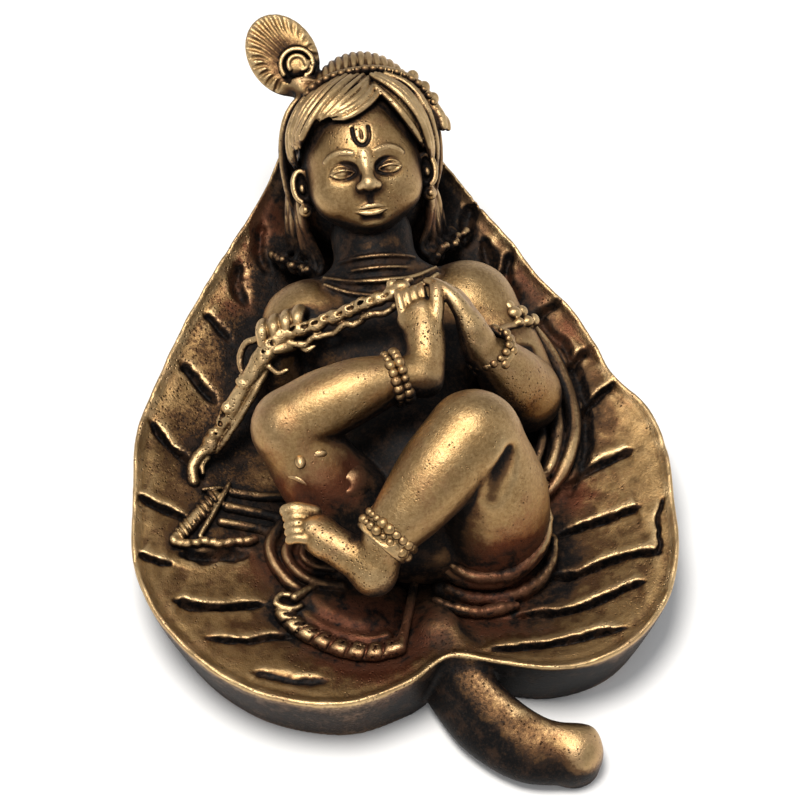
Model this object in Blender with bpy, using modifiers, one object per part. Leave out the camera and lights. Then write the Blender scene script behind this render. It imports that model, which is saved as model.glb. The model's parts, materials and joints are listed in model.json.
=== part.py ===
"""A small brass statue of a child lying on a broad leaf, cast in one piece.

Run it with blender --background --python part.py, or from the text editor.
Metres, +Z up. +X runs across the leaf, +Y along its midrib towards the tip. The origin is on the
flat underside, below the child's hips and on the midrib.
"""

import math

import bpy
import bmesh
import numpy as np
from mathutils import Matrix, Vector

# The leaf
LEAF_WIDTH = 0.0592
LEAF_LENGTH = 0.0800
FLOOR_THICKNESS = 0.0040
RIM_HEIGHT = 0.0092
TIP_HEIGHT = 0.0138
EDGE_THICKNESS = 0.0012
UNDERCUT = 0.0026
VEINS_A_SIDE = 11
VEIN_PITCH = 0.0052
VEIN_LENGTH = 0.0095
VEIN_WIDTH = 0.0013
VEIN_DEPTH = 0.0008

# The stem
STEM_RADIUS = 0.0030
STEM_REACH = 0.0105
STEM_SWING = 0.0135

# The child: every form of it is given in parts, and its length is divided into this many
FIGURE_LENGTH = 0.0660
PARTS = 66.0
HEAD_TILT_DEG = 58.0
HEAD_ROLL_DEG = 2.5

# How the surface is made
GRAIN = 0.00038
SMOOTHING_PASSES = 2
MOST_FACES = 9600
CUT_ALLOWANCE = 0.0008

NAME = "child_on_leaf"
BRASS = (0.42, 0.27, 0.11)
BRASS_ROUGHNESS = 0.42

PART = FIGURE_LENGTH / PARTS
NOTCH = (0.095, -0.395)

# The leaf's outline: shares of its half width and of its length, anticlockwise from the notch
LEAF_OUTLINE = (
    NOTCH,
    (0.27, -0.412),
    (0.49, -0.430),
    (0.72, -0.410),
    (0.90, -0.347),
    (0.985, -0.268),
    (1.012, -0.175),
    (1.02, -0.095),
    (0.98, -0.025),
    (0.88, 0.032),
    (0.83, 0.088),
    (0.76, 0.150),
    (0.66, 0.202),
    (0.575, 0.265),
    (0.455, 0.340),
    (0.345, 0.415),
    (0.22, 0.482),
    (0.09, 0.540),
    (-0.01, 0.556),
    (-0.14, 0.538),
    (-0.275, 0.462),
    (-0.40, 0.372),
    (-0.575, 0.280),
    (-0.735, 0.189),
    (-0.862, 0.098),
    (-0.955, 0.018),
    (-0.99, -0.090),
    (-1.01, -0.185),
    (-0.97, -0.257),
    (-0.895, -0.315),
    (-0.755, -0.379),
    (-0.563, -0.427),
    (-0.302, -0.450),
    (-0.07, -0.428),
)
LEAF_HEART = (0.0, -0.05)


def clear_scene():
    for obj in list(bpy.data.objects):
        bpy.data.objects.remove(obj, do_unlink=True)


def smooth_step(low, high, value):
    share = np.clip((value - low) / (high - low), 0.0, 1.0)
    return share * share * (3.0 - 2.0 * share)


def smooth_path(points, steps, closed=False):
    """Points along the Catmull-Rom curve through these points, with any further columns."""
    points = np.asarray(points, float)
    count = len(points)
    spans = count if closed else count - 1
    found = []
    for i in range(spans):
        if closed:
            a, b, c, d = (points[(i + k) % count] for k in (-1, 0, 1, 2))
        else:
            a, b, c, d = (points[min(max(i + k, 0), count - 1)] for k in (-1, 0, 1, 2))
        for t in np.arange(steps) / steps:
            line = 2.0 * b + (c - a) * t
            bend = (2.0 * a - 5.0 * b + 4.0 * c - d) * t * t
            twist = (3.0 * b - a - 3.0 * c + d) * t * t * t
            found.append(0.5 * (line + bend + twist))
    if not closed:
        found.append(points[-1])
    return np.array(found)


class Leaf:
    """The leaf's outline and the height of its upper face."""

    def __init__(self):
        self.heart = np.array([LEAF_HEART[0] * LEAF_WIDTH / 2.0, LEAF_HEART[1] * LEAF_LENGTH])
        scale = np.array([LEAF_WIDTH / 2.0, LEAF_LENGTH])
        rim = smooth_path(np.array(LEAF_OUTLINE) * scale, 24, closed=True) - self.heart
        angle = np.arctan2(rim[:, 1], rim[:, 0])
        order = np.argsort(angle)
        self.angle = angle[order]
        self.reach = np.hypot(rim[:, 0], rim[:, 1])[order]
        self.veins = self.vein_lines()

    def rim_at(self, angle):
        return np.interp(angle, self.angle, self.reach, period=2.0 * math.pi)

    def rim_height(self, y):
        return RIM_HEIGHT + (TIP_HEIGHT - RIM_HEIGHT) * smooth_step(0.0, 0.55 * LEAF_LENGTH, y)

    def plain_top(self, x, y):
        """Height of the dished face, before its veins, and the share of the way to the rim."""
        dx = x - self.heart[0]
        dy = y - self.heart[1]
        angle = np.arctan2(dy, dx)
        reach = self.rim_at(angle)
        share = np.clip(np.hypot(dx, dy) / reach, 0.0, 1.0)
        rim = self.rim_height(self.heart[1] + reach * np.sin(angle))
        return FLOOR_THICKNESS + (rim - FLOOR_THICKNESS) * share**2.2, share

    def vein_lines(self):
        """Both ends of each vein: level near the heel, and leaning up towards the tip."""
        lines = []
        for side in (-1.0, 1.0):
            for i in range(VEINS_A_SIDE):
                y = (-0.385 * LEAF_LENGTH) + i * VEIN_PITCH
                lean = math.radians(55.0) * float(smooth_step(-0.17, 0.15, y / LEAF_LENGTH))
                outer = self.out_on_row(side, y)
                length = VEIN_LENGTH * (1.0 - 0.55 * float(smooth_step(-0.1, 0.3, y / LEAF_LENGTH)))
                inner = outer - length * np.array([side * math.cos(lean), math.sin(lean)])
                lines.append((outer, inner))
        return lines

    def out_on_row(self, side, y):
        """The point just inside the rim, on this side, at this distance along the leaf."""
        angles = np.linspace(-1.35, 1.45, 400)
        if side < 0.0:
            angles = math.pi - angles
        rows = self.heart[1] + 0.94 * self.rim_at(angles) * np.sin(angles)
        best = int(np.argmin(np.abs(rows - y)))
        reach = 0.94 * self.rim_at(angles[best])
        return self.heart + reach * np.array([math.cos(angles[best]), math.sin(angles[best])])

    def top(self, x, y):
        """Height of the upper face with its veins sunk in."""
        height, _ = self.plain_top(x, y)
        deepest = np.zeros_like(height)
        for outer, inner in self.veins:
            run = inner - outer
            along = ((x - outer[0]) * run[0] + (y - outer[1]) * run[1]) / float(run @ run)
            along = np.clip(along, 0.0, 1.0)
            away = np.hypot(x - outer[0] - along * run[0], y - outer[1] - along * run[1])
            deepest = np.maximum(deepest, VEIN_DEPTH * (1.0 - smooth_step(0.0, VEIN_WIDTH, away)))
        return height - deepest


LEAF = Leaf()


def keep_mesh(shapes, work):
    mesh = bpy.data.meshes.new("form")
    work.to_mesh(mesh)
    work.free()
    shapes.append(mesh)


def add_leaf(shapes):
    """A sphere reshaped: its upper half is the dished face, its lower half the wall and underside."""
    around = 420
    rings = 150
    face_share = 0.62
    wall_share = 0.72
    work = bmesh.new()
    bmesh.ops.create_uvsphere(work, u_segments=around, v_segments=rings, radius=1.0)
    spots = np.array([vert.co for vert in work.verts])
    angle = np.arctan2(spots[:, 1], spots[:, 0])
    down = np.arccos(np.clip(spots[:, 2], -1.0, 1.0)) / math.pi
    reach = LEAF.rim_at(angle)
    rim_y = LEAF.heart[1] + reach * np.sin(angle)
    rim = LEAF.rim_height(rim_y)
    out = np.clip(down / face_share, 0.0, 1.0)
    wall = np.clip((down - face_share) / (wall_share - face_share), 0.0, 1.0)
    under = np.clip((down - wall_share) / (1.0 - wall_share), 0.0, 1.0)
    beside = np.abs(np.cos(angle))
    undercut = UNDERCUT * (0.4 + 0.6 * beside + smooth_step(-0.1, 0.45, rim_y / LEAF_LENGTH))
    far = out * reach - wall * undercut
    far = far * (1.0 - under)
    x = LEAF.heart[0] + far * np.cos(angle)
    y = LEAF.heart[1] + far * np.sin(angle)
    upper = LEAF.top(x, y) - EDGE_THICKNESS * 0.4 * out**24
    lower = rim + wall * (-CUT_ALLOWANCE - rim)
    z = np.where(down <= face_share, upper, np.where(under > 0.0, -CUT_ALLOWANCE, lower))
    for vert, spot in zip(work.verts, np.stack([x, y, z], axis=1)):
        vert.co = spot
    bmesh.ops.recalc_face_normals(work, faces=work.faces)
    keep_mesh(shapes, work)


def add_ball(shapes, centre, radii, turn=None):
    """An ellipsoid, in metres."""
    work = bmesh.new()
    bmesh.ops.create_uvsphere(work, u_segments=28, v_segments=18, radius=1.0)
    frame = Matrix.Translation(Vector(centre)) @ (turn.to_4x4() if turn else Matrix.Identity(4))
    bmesh.ops.transform(work, matrix=frame @ Matrix.Diagonal((*radii, 1.0)), verts=work.verts)
    keep_mesh(shapes, work)


def add_bar(shapes, points, steps=6):
    """A round bar through these points, each with its radius, in metres and with round ends."""
    path = smooth_path(points, steps)
    curve = bpy.data.curves.new("bar", "CURVE")
    curve.dimensions = "3D"
    curve.bevel_depth = 1.0
    curve.bevel_resolution = 3
    curve.use_fill_caps = True
    spline = curve.splines.new("POLY")
    spline.points.add(len(path) - 1)
    for point, (x, y, z, radius) in zip(spline.points, path):
        point.co = (x, y, z, 1.0)
        point.radius = radius
    holder = bpy.data.objects.new("bar", curve)
    bpy.context.scene.collection.objects.link(holder)
    graph = bpy.context.evaluated_depsgraph_get()
    mesh = bpy.data.meshes.new_from_object(holder.evaluated_get(graph), depsgraph=graph)
    bpy.data.objects.remove(holder, do_unlink=True)
    work = bmesh.new()
    work.from_mesh(mesh)
    bmesh.ops.remove_doubles(work, verts=work.verts, dist=1e-7)
    keep_mesh(shapes, work)
    for x, y, z, radius in (path[0], path[-1]):
        add_ball(shapes, (x, y, z), (radius, radius, radius))


class Figure:
    """Puts the child's forms, given in parts above the leaf's floor, into the statue."""

    def __init__(self, shapes):
        self.shapes = shapes

    def place(self, point):
        x, y, z = point
        return (x * PART, y * PART, FLOOR_THICKNESS + z * PART)

    def ball(self, centre, radii, turn=None):
        if not hasattr(radii, "__len__"):
            radii = (radii, radii, radii)
        add_ball(self.shapes, self.place(centre), [r * PART for r in radii], turn)

    def bar(self, points, steps=6):
        rows = [(*self.place(point[:3]), point[3] * PART) for point in points]
        add_bar(self.shapes, rows, steps)


class Head(Figure):
    """The same, in the head's own directions: to its side, up to its crown, and out of its face."""

    centre = Vector((-0.1, 24.7, 19.8))
    turn = Matrix.Rotation(math.radians(90.0 - HEAD_TILT_DEG), 3, "X") @ Matrix.Rotation(
        math.radians(HEAD_ROLL_DEG), 3, "Z"
    )

    def place(self, point):
        return Figure.place(self, self.centre + self.turn @ Vector(point))

    def ball(self, centre, radii, turn=None):
        Figure.ball(self, centre, radii, self.turn @ turn if turn else self.turn)


def add_torso(figure):
    figure.ball((2.5, -14.0, 5.0), (9.8, 7.4, 5.8))
    figure.ball((2.0, -6.0, 6.3), (8.4, 9.5, 6.2))
    figure.ball((1.4, 6.0, 7.4), (10.2, 9.4, 6.4))
    figure.bar([(-6.8, 11.2, 8.0, 5.6), (1.0, 10.8, 8.6, 4.8), (10.2, 11.2, 8.4, 5.5)])
    figure.bar([(0.7, 12.0, 10.2, 4.2), (0.3, 19.0, 14.0, 4.2)])
    for ring in range(3):
        y = 13.6 + 1.5 * ring
        z = 14.0 + 0.9 * ring
        figure.bar([(-3.9, y + 0.9, z - 1.9, 0.5), (0.7, y - 1.0, z + 0.5, 0.5), (5.2, y + 0.9, z - 1.9, 0.5)])


def add_arms(figure):
    figure.bar([(-7.4, 10.8, 8.0, 5.5), (-10.6, 5.0, 5.4, 3.8)])
    figure.bar([(-10.6, 5.0, 5.4, 3.8), (-11.6, 5.6, 10.0, 2.6), (-10.8, 7.0, 13.4, 1.9)])
    figure.bar([(10.2, 11.0, 8.4, 5.5), (13.4, 6.0, 7.0, 4.7), (15.2, 1.2, 5.6, 4.2)])
    figure.bar([(15.2, 0.8, 5.6, 4.1), (13.4, -0.4, 11.0, 3.4), (11.0, 0.2, 15.6, 2.5)])
    figure.bar([(11.0, 0.4, 15.8, 2.4), (9.9, 2.8, 18.2, 2.6), (8.3, 5.0, 19.8, 2.0)])
    for side in (-1.5, -0.5, 0.5, 1.5):
        root = (8.2 + 0.2 * side, 4.6 + 1.0 * side, 20.5 - 0.5 * side)
        middle = (6.9 + 0.2 * side, 5.1 + 1.0 * side, 21.6 - 0.4 * side)
        tip = (5.7 + 0.2 * side, 5.0 + 0.8 * side, 21.5 - 0.4 * side)
        figure.bar([(*root, 0.85), (*middle, 0.8), (*tip, 0.65)])


def add_fist(figure):
    """The other hand, closed on the rod."""
    figure.bar([(-9.6, 7.4, 14.2, 1.5), (-11.2, 6.4, 14.0, 1.6), (-12.6, 5.2, 13.2, 1.3)])
    for i in range(3):
        figure.ball((-12.4 + 1.5 * i, 7.6 + 0.1 * i, 14.2 + 0.2 * i), 0.85)


def add_legs(figure):
    figure.bar([(-3.0, -14.0, 5.2, 5.2), (-8.2, -11.0, 10.0, 4.8), (-11.6, -6.8, 15.2, 4.1)])
    figure.bar([(-11.6, -6.8, 15.2, 4.1), (-6.4, -5.6, 17.6, 3.6), (-0.8, -4.6, 18.6, 2.7)])
    figure.bar([(-0.6, -4.6, 18.6, 2.4), (2.2, -3.8, 18.6, 2.2)])
    figure.bar([(2.6, -4.2, 18.2, 2.1), (3.3, -0.6, 18.8, 2.0), (3.9, 2.8, 19.8, 2.1)])
    for i in range(4):
        figure.bar([(2.0 + 0.85 * i, 3.4 + 0.1 * i, 20.3, 0.65), (1.8 + 0.9 * i, 5.2, 20.9, 0.6)])
    figure.bar([(5.2, 3.0, 20.3, 1.0), (5.8, 5.1, 21.1, 0.9)])
    figure.bar([(9.2, -16.4, 5.4, 6.2), (9.0, -15.6, 12.0, 5.8), (7.4, -13.4, 19.0, 4.7)])
    figure.bar([(7.0, -13.4, 19.4, 4.6), (2.8, -17.2, 17.6, 4.4), (-2.6, -21.4, 14.6, 2.9)])
    figure.bar([(-3.0, -22.0, 14.0, 2.6), (-4.4, -24.4, 11.4, 2.3)])
    figure.bar([(-4.4, -24.2, 11.6, 2.2), (-7.4, -21.4, 12.8, 2.1), (-10.8, -19.0, 13.2, 1.9)])
    for i in range(4):
        y = -19.8 + 1.0 * i
        figure.bar([(-10.6, y, 13.1, 0.8), (-12.9, y + 0.5, 13.1, 0.6)])


def add_anklets(figure):
    for centre, axis, radius in (
        ((0.9, -4.4, 18.8), (1.0, 0.25, 0.1), 2.6),
        ((-3.0, -21.8, 14.2), (0.72, 0.55, 0.4), 3.0),
        ((10.9, 0.3, 15.9), (-0.5, 0.2, 0.85), 2.4),
    ):
        turn = Vector(axis).to_track_quat("Z", "X").to_matrix()
        count = 14
        for i in range(count):
            angle = 2.0 * math.pi * i / count
            away = turn @ Vector((radius * math.cos(angle), radius * math.sin(angle), 0.0))
            figure.ball(Vector(centre) + away, 0.75)


def add_skull(head):
    head.ball((0.0, 0.8, -0.6), (6.5, 7.4, 7.0))
    head.ball((0.0, -2.4, 0.8), (5.7, 5.0, 5.4))
    head.ball((0.0, -5.6, 2.6), (2.6, 2.1, 2.4))
    for side in (-1.0, 1.0):
        head.ball((side * 3.0, -2.6, 3.4), (2.3, 2.3, 2.2))
        head.ball((side * 2.4, 0.5, 5.2), (1.35, 0.75, 0.95))
        head.bar([(side * 0.8, 1.9, 6.0, 0.4), (side * 2.5, 2.5, 5.6, 0.45), (side * 4.3, 1.7, 4.3, 0.4)])
        head.ball((side * 0.75, -1.5, 6.2), (0.6, 0.55, 0.7))
        head.bar([(side * 6.5, 1.6, 0.4, 0.7), (side * 7.0, 0.0, 0.2, 0.8), (side * 6.6, -1.8, 0.8, 0.6)])
    head.bar([(0.0, 1.6, 5.9, 0.55), (0.0, 0.0, 6.5, 0.65), (0.0, -1.3, 7.0, 0.85)])
    head.bar([(-1.5, -3.5, 5.6, 0.35), (0.0, -3.3, 6.3, 0.55), (1.5, -3.5, 5.6, 0.35)])
    head.bar([(-1.2, -4.2, 5.5, 0.35), (0.0, -4.4, 6.1, 0.55), (1.2, -4.2, 5.5, 0.35)])


def add_hair(head):
    """Locks swept from the parting to each side, and long strands down to the shoulders."""
    head.ball((0.4, 3.0, -2.1), (7.0, 6.2, 6.0))
    head.ball((0.0, -1.5, -5.4), (7.6, 8.0, 4.6))
    head.ball((0.2, -3.0, -10.0), (7.0, 6.5, 6.0))
    head.ball((0.2, 1.8, -10.6), (6.4, 5.6, 6.0))
    for side in (-1.0, 1.0):
        for row in range(4):
            head.bar(
                [
                    (0.9 + side * 0.3, 6.6 + 1.05 * row, 4.9 - 1.0 * row, 0.7),
                    (0.4 + side * (3.3 + 0.55 * row), 6.0 + 1.0 * row, 5.0 - 1.15 * row, 0.95),
                    (0.4 + side * (5.9 + 0.6 * row), 3.6 + 0.75 * row, 3.8 - 1.3 * row, 1.0),
                    (0.5 + side * (7.2 + 0.2 * row), 0.2, 1.4 - 1.4 * row, 0.8),
                ]
            )
        for strand in range(4):
            deep = 1.7 * strand
            head.bar(
                [
                    (0.4 + side * (7.0 + 0.2 * strand), 1.0, -0.8 - deep, 0.8),
                    (side * (8.1 + 0.4 * strand), -3.4, -2.2 - deep, 0.9),
                    (side * (8.2 + 0.6 * strand), -7.4, -4.2 - deep, 0.85),
                    (side * (7.6 + 1.1 * strand), -10.6, -5.0 - deep, 0.75),
                ]
            )


def add_cap(head):
    """The ribbed cap behind its beaded band, and the tuft at the band's end."""
    ribs = 15
    for i in range(ribs):
        angle = math.radians(-58.0 + 112.0 * i / (ribs - 1))
        sine = math.sin(angle)
        cosine = math.cos(angle)
        foot = (0.9 + 6.6 * sine, 4.4 + 5.4 * cosine, -0.6)
        tip = (1.2 + 5.8 * sine, 6.0 + 6.9 * cosine, -2.6)
        head.bar([(*foot, 0.62), (*tip, 0.66)])
        head.ball((0.8 + 7.1 * sine, 3.8 + 5.6 * cosine, 0.5), 0.62)
    head.ball((0.8, 6.2, -2.4), (5.8, 5.8, 2.6))
    head.bar([(6.6, 7.2, 0.0, 0.8), (8.0, 5.2, 0.2, 0.8), (8.8, 3.6, 0.0, 0.9)])


def add_feather(head):
    """A short plume with one eye, its barbs fanned from the eye."""
    centre = Vector((-6.7, 13.8, -2.6))
    lean = math.radians(24.0)
    turn = Matrix.Rotation(lean, 3, "Z")
    head.ball(centre, (3.8, 5.0, 1.1), turn)
    head.bar([(-4.4, 7.0, -1.8, 1.5), (-5.0, 9.0, -2.2, 1.3), (-6.0, 11.0, -2.6, 1.2)])
    eye = centre + turn @ Vector((0.2, -1.6, 0.7))
    head.ball(eye, (1.35, 1.35, 0.95), turn)
    barbs = 15
    for i in range(barbs):
        angle = math.radians(-115.0 + 230.0 * i / (barbs - 1)) + math.pi / 2.0
        side = math.cos(angle)
        up = math.sin(angle)
        root = eye + turn @ Vector((1.7 * side, 1.7 * up, -0.1))
        middle = centre + turn @ Vector((2.7 * side, 0.1 + 3.5 * up, 0.6))
        tip = centre + turn @ Vector((3.7 * side, 0.1 + 4.9 * up, -0.1))
        head.bar([(*root, 0.34), (*middle, 0.42), (*tip, 0.38)], steps=4)


def on_leaf(points, lift):
    """Points in parts across the leaf's face, lifted off it, each with its radius."""
    rows = []
    for x, y, radius in points:
        height, _ = LEAF.plain_top(np.array(x * PART), np.array(y * PART))
        rows.append((x, y, (float(height) - FLOOR_THICKNESS) / PART + lift, radius))
    return rows


def add_rod(figure):
    """The rod in the fist: a lumpy upper half to the mouth, and a lower half to the leaf."""
    figure.bar(
        [
            (2.2, 5.6, 20.4, 0.8),
            (-1.2, 5.6, 18.6, 1.0),
            (-4.6, 5.6, 16.6, 1.0),
            (-8.0, 5.2, 15.0, 0.9),
            (-11.0, 6.2, 14.0, 1.2),
        ]
    )
    figure.bar(
        [
            (-12.0, 5.6, 13.6, 1.2),
            (-14.6, 3.4, 11.2, 1.1),
            (-17.0, 1.4, 8.2, 1.2),
            (-19.6, -0.8, 5.0, 1.0),
            (-21.6, -2.4, 3.6, 1.1),
            (-22.4, -4.2, 2.8, 0.9),
        ]
    )


def add_scarf(figure):
    """Two long folds beside the elbow, and three round the hip."""
    for fold in range(2):
        out = 2.0 * fold
        figure.bar(
            [(15.6 + 0.5 * out, 7.8 + 0.4 * out, 8.0, 0.8)]
            + on_leaf(
                [
                    (17.6 + out, 3.4 + 0.2 * out, 0.85),
                    (18.4 + out, -2.4, 0.95),
                    (16.8 + out, -7.0 - 0.3 * out, 0.85),
                    (14.8 + 0.8 * out, -9.8 - 0.6 * out, 0.7),
                ],
                0.6,
            )
        )
    for fold in range(3):
        out = 1.8 * fold
        figure.bar(
            on_leaf(
                [
                    (1.8, -19.6 - out, 0.8),
                    (7.6, -22.2 - out, 0.85),
                    (13.0 + 0.5 * out, -20.6 - 0.8 * out, 0.85),
                    (16.4 + 0.8 * out, -15.6 - 0.5 * out, 0.8),
                    (16.0 + 0.9 * out, -10.6 - 0.3 * out, 0.7),
                ],
                0.8,
            )
        )


def add_sash(figure):
    """The sash: its fanned end towards the notch, and its narrow end on the other side."""
    folds = 7
    hem = []
    for i in range(folds):
        share = i / (folds - 1)
        x = -14.0 + 14.4 * share
        y = -21.8 - 7.4 * math.sin(math.pi * (0.06 + 0.64 * share))
        hem.append((x, y, 1.0))
        top_x = -9.0 + 9.5 * share
        figure.bar(on_leaf([(top_x, -15.0, 1.2), ((top_x + x) / 2.0, (y - 15.0) / 2.0, 1.1), (x, y, 0.9)], 0.9))
    figure.bar(on_leaf(hem, 1.1))
    loop = [(-13.6, -13.6, 0.9), (-12.8, -16.6, 1.0), (-10.2, -18.6, 1.0), (-7.0, -18.4, 0.9)]
    figure.bar(on_leaf(loop, 1.8))
    figure.bar(on_leaf([(-11.0, -9.0, 2.2), (-14.6, -10.4, 1.8), (-17.4, -12.0, 1.4)], 0.3))
    strip = [(-20.0, -5.6, 1.0), (-22.4, -9.2, 1.05), (-24.6, -12.0, 1.0)]
    figure.bar(on_leaf(strip, 0.6))
    figure.bar(on_leaf([(-24.6, -12.2, 0.8), (-21.2, -12.8, 0.85), (-17.0, -12.6, 0.8)], 0.6))
    figure.bar(on_leaf([(-17.0, -5.6, 0.7), (-19.2, -8.6, 0.7), (-21.2, -11.6, 0.7)], 0.5))


def add_waist_fold(figure):
    figure.ball((-6.6, -11.0, 12.4), (2.6, 3.2, 2.6))


def add_stem(shapes):
    """The stem rises out of the leaf's face, passes over the notch and swings to one side."""
    start_x = (NOTCH[0] - 0.03) * LEAF_WIDTH / 2.0
    start_y = (NOTCH[1] + 0.055) * LEAF_LENGTH
    notch_y = NOTCH[1] * LEAF_LENGTH
    low = STEM_RADIUS * 0.95
    rim_z = RIM_HEIGHT - 0.95 * STEM_RADIUS
    points = [
        (start_x - 0.0008, start_y + 0.003, rim_z - 0.0012, STEM_RADIUS * 0.55),
        (start_x, start_y, rim_z, STEM_RADIUS * 0.85),
        (start_x + 0.10 * STEM_SWING, notch_y, rim_z - 0.0004, STEM_RADIUS * 0.95),
        (start_x + 0.30 * STEM_SWING, notch_y - 0.46 * STEM_REACH, low + 0.0017, STEM_RADIUS),
        (start_x + 0.62 * STEM_SWING, notch_y - 0.82 * STEM_REACH, low + 0.0006, STEM_RADIUS),
        (start_x + STEM_SWING, notch_y - STEM_REACH, low, STEM_RADIUS * 0.98),
    ]
    add_bar(shapes, points)
    skirt = 0.55 * STEM_RADIUS
    for share in (0.5, 1.0):
        add_bar(
            shapes,
            [(x - share * skirt, y - share * skirt, low, r) for x, y, z, r in points[2:5]]
            + [points[5]],
        )


def join(shapes):
    """All the forms in one object, still overlapping."""
    work = bmesh.new()
    for mesh in shapes:
        work.from_mesh(mesh)
    mesh = bpy.data.meshes.new(NAME)
    work.to_mesh(mesh)
    work.free()
    obj = bpy.data.objects.new(NAME, mesh)
    return obj


def settle(obj):
    """Puts the object's modifiers into its mesh."""
    graph = bpy.context.evaluated_depsgraph_get()
    mesh = bpy.data.meshes.new_from_object(obj.evaluated_get(graph), depsgraph=graph)
    obj.modifiers.clear()
    obj.data = mesh


def fuse(obj):
    """One skin over all the forms, smoothed as a casting is, then thinned to few faces."""
    skin = obj.modifiers.new("Skin", "REMESH")
    skin.mode = "VOXEL"
    skin.voxel_size = GRAIN
    soften = obj.modifiers.new("Soften", "SMOOTH")
    soften.factor = 0.5
    soften.iterations = SMOOTHING_PASSES
    settle(obj)
    thin = obj.modifiers.new("Thin", "DECIMATE")
    thin.ratio = MOST_FACES / (2.0 * len(obj.data.polygons))
    thin.use_collapse_triangulate = True
    settle(obj)


def cut_flat(obj, cutters):
    """Takes off what reaches below the ground, which leaves one flat underside."""
    work = bmesh.new()
    bmesh.ops.create_cube(work, size=1.0)
    depth = 0.010
    size = Matrix.Diagonal((3.0 * LEAF_WIDTH, 3.0 * LEAF_LENGTH, depth, 1.0))
    bmesh.ops.transform(work, matrix=size, verts=work.verts)
    bmesh.ops.translate(work, vec=(0.0, 0.0, -depth / 2.0), verts=work.verts)
    mesh = bpy.data.meshes.new("ground_cutter")
    work.to_mesh(mesh)
    work.free()
    cutter = bpy.data.objects.new("ground_cutter", mesh)
    cutter.hide_render = True
    cutter.display_type = "WIRE"
    cutters.objects.link(cutter)
    cut = obj.modifiers.new("Ground", "BOOLEAN")
    cut.operation = "DIFFERENCE"
    cut.solver = "EXACT"
    cut.object = cutter


def brass():
    material = bpy.data.materials.new("aged_brass")
    material.use_nodes = True
    shader = material.node_tree.nodes["Principled BSDF"]
    shader.inputs["Base Color"].default_value = (*BRASS, 1.0)
    shader.inputs["Metallic"].default_value = 1.0
    shader.inputs["Roughness"].default_value = BRASS_ROUGHNESS
    return material


def main():
    clear_scene()
    statue = bpy.data.collections.new("leaf_statue")
    cutters = bpy.data.collections.new("cutters")
    for collection in (statue, cutters):
        bpy.context.scene.collection.children.link(collection)
    cutters.hide_render = True
    shapes = []
    add_leaf(shapes)
    add_stem(shapes)
    figure = Figure(shapes)
    for form in (add_torso, add_arms, add_fist, add_legs, add_anklets, add_waist_fold):
        form(figure)
    for form in (add_rod, add_scarf, add_sash):
        form(figure)
    head = Head(shapes)
    for form in (add_skull, add_hair, add_cap, add_feather):
        form(head)
    obj = join(shapes)
    statue.objects.link(obj)
    fuse(obj)
    cut_flat(obj, cutters)
    obj.data.shade_smooth()
    obj.data.set_sharp_from_angle(angle=math.radians(50.0))
    obj.data.materials.clear()
    obj.data.materials.append(brass())


main()
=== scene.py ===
"""The looks of a small aged brass statue: a child lying on a broad leaf, cast in one piece.

Every form is laid into blocks of clay, which hold the distance to the surface at each of their
cells. Their skins become the meshes. Beads and ribs are set along paths by Geometry Nodes.
Forms are given in millimetres, +Z up, +Y along the leaf towards its tip.
"""

import json
import math

import bpy
import numpy as np
from bpy.props import FloatProperty, IntProperty, PointerProperty
from mathutils import Matrix, Vector

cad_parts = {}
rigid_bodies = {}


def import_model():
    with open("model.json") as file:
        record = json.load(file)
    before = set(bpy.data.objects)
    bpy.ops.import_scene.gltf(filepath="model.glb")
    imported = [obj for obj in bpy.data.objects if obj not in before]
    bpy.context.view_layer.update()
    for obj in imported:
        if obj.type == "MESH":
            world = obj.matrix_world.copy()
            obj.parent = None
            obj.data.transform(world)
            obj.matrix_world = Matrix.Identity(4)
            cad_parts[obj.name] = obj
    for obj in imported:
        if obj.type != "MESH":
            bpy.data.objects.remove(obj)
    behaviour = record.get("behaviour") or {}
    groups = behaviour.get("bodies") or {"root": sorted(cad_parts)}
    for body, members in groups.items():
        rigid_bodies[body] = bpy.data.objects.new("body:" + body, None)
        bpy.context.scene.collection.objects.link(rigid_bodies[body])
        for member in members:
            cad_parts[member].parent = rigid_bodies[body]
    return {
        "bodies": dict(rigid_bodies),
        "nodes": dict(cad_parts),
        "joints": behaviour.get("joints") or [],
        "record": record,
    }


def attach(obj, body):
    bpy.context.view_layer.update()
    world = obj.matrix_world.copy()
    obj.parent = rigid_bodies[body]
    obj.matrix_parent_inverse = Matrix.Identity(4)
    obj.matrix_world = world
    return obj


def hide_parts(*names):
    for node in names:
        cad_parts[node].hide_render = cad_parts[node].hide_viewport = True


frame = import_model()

bl_info = {
    "name": "Leaf Statue",
    "version": (1, 0, 0),
    "blender": (4, 5, 0),
    "location": "3D View > Sidebar > Statue",
    "description": "Sculpts a small brass statue lying on a leaf, ages it and sets its stage",
    "category": "Add Mesh",
}

FRAME_NODE = "child_on_leaf"
BODY_NAME = "root"
SLOT = "aged_brass"

# Millimetres in a metre, and a millimetre in metres
TO_MM = 1000.0
TO_M = 0.001
# The child's length is divided into this many parts, in which its forms are given
PARTS = 66.0
# Distances in a block of clay are kept up to this many millimetres
FAR = 4.0
NOISE_CELLS = 32
# How round each bead is
BEAD_SEGMENTS = 14
BEAD_RINGS = 9

# The blocks of clay by the name of their piece, and the finished pieces
CLAYS = {}
PIECES = []

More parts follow.
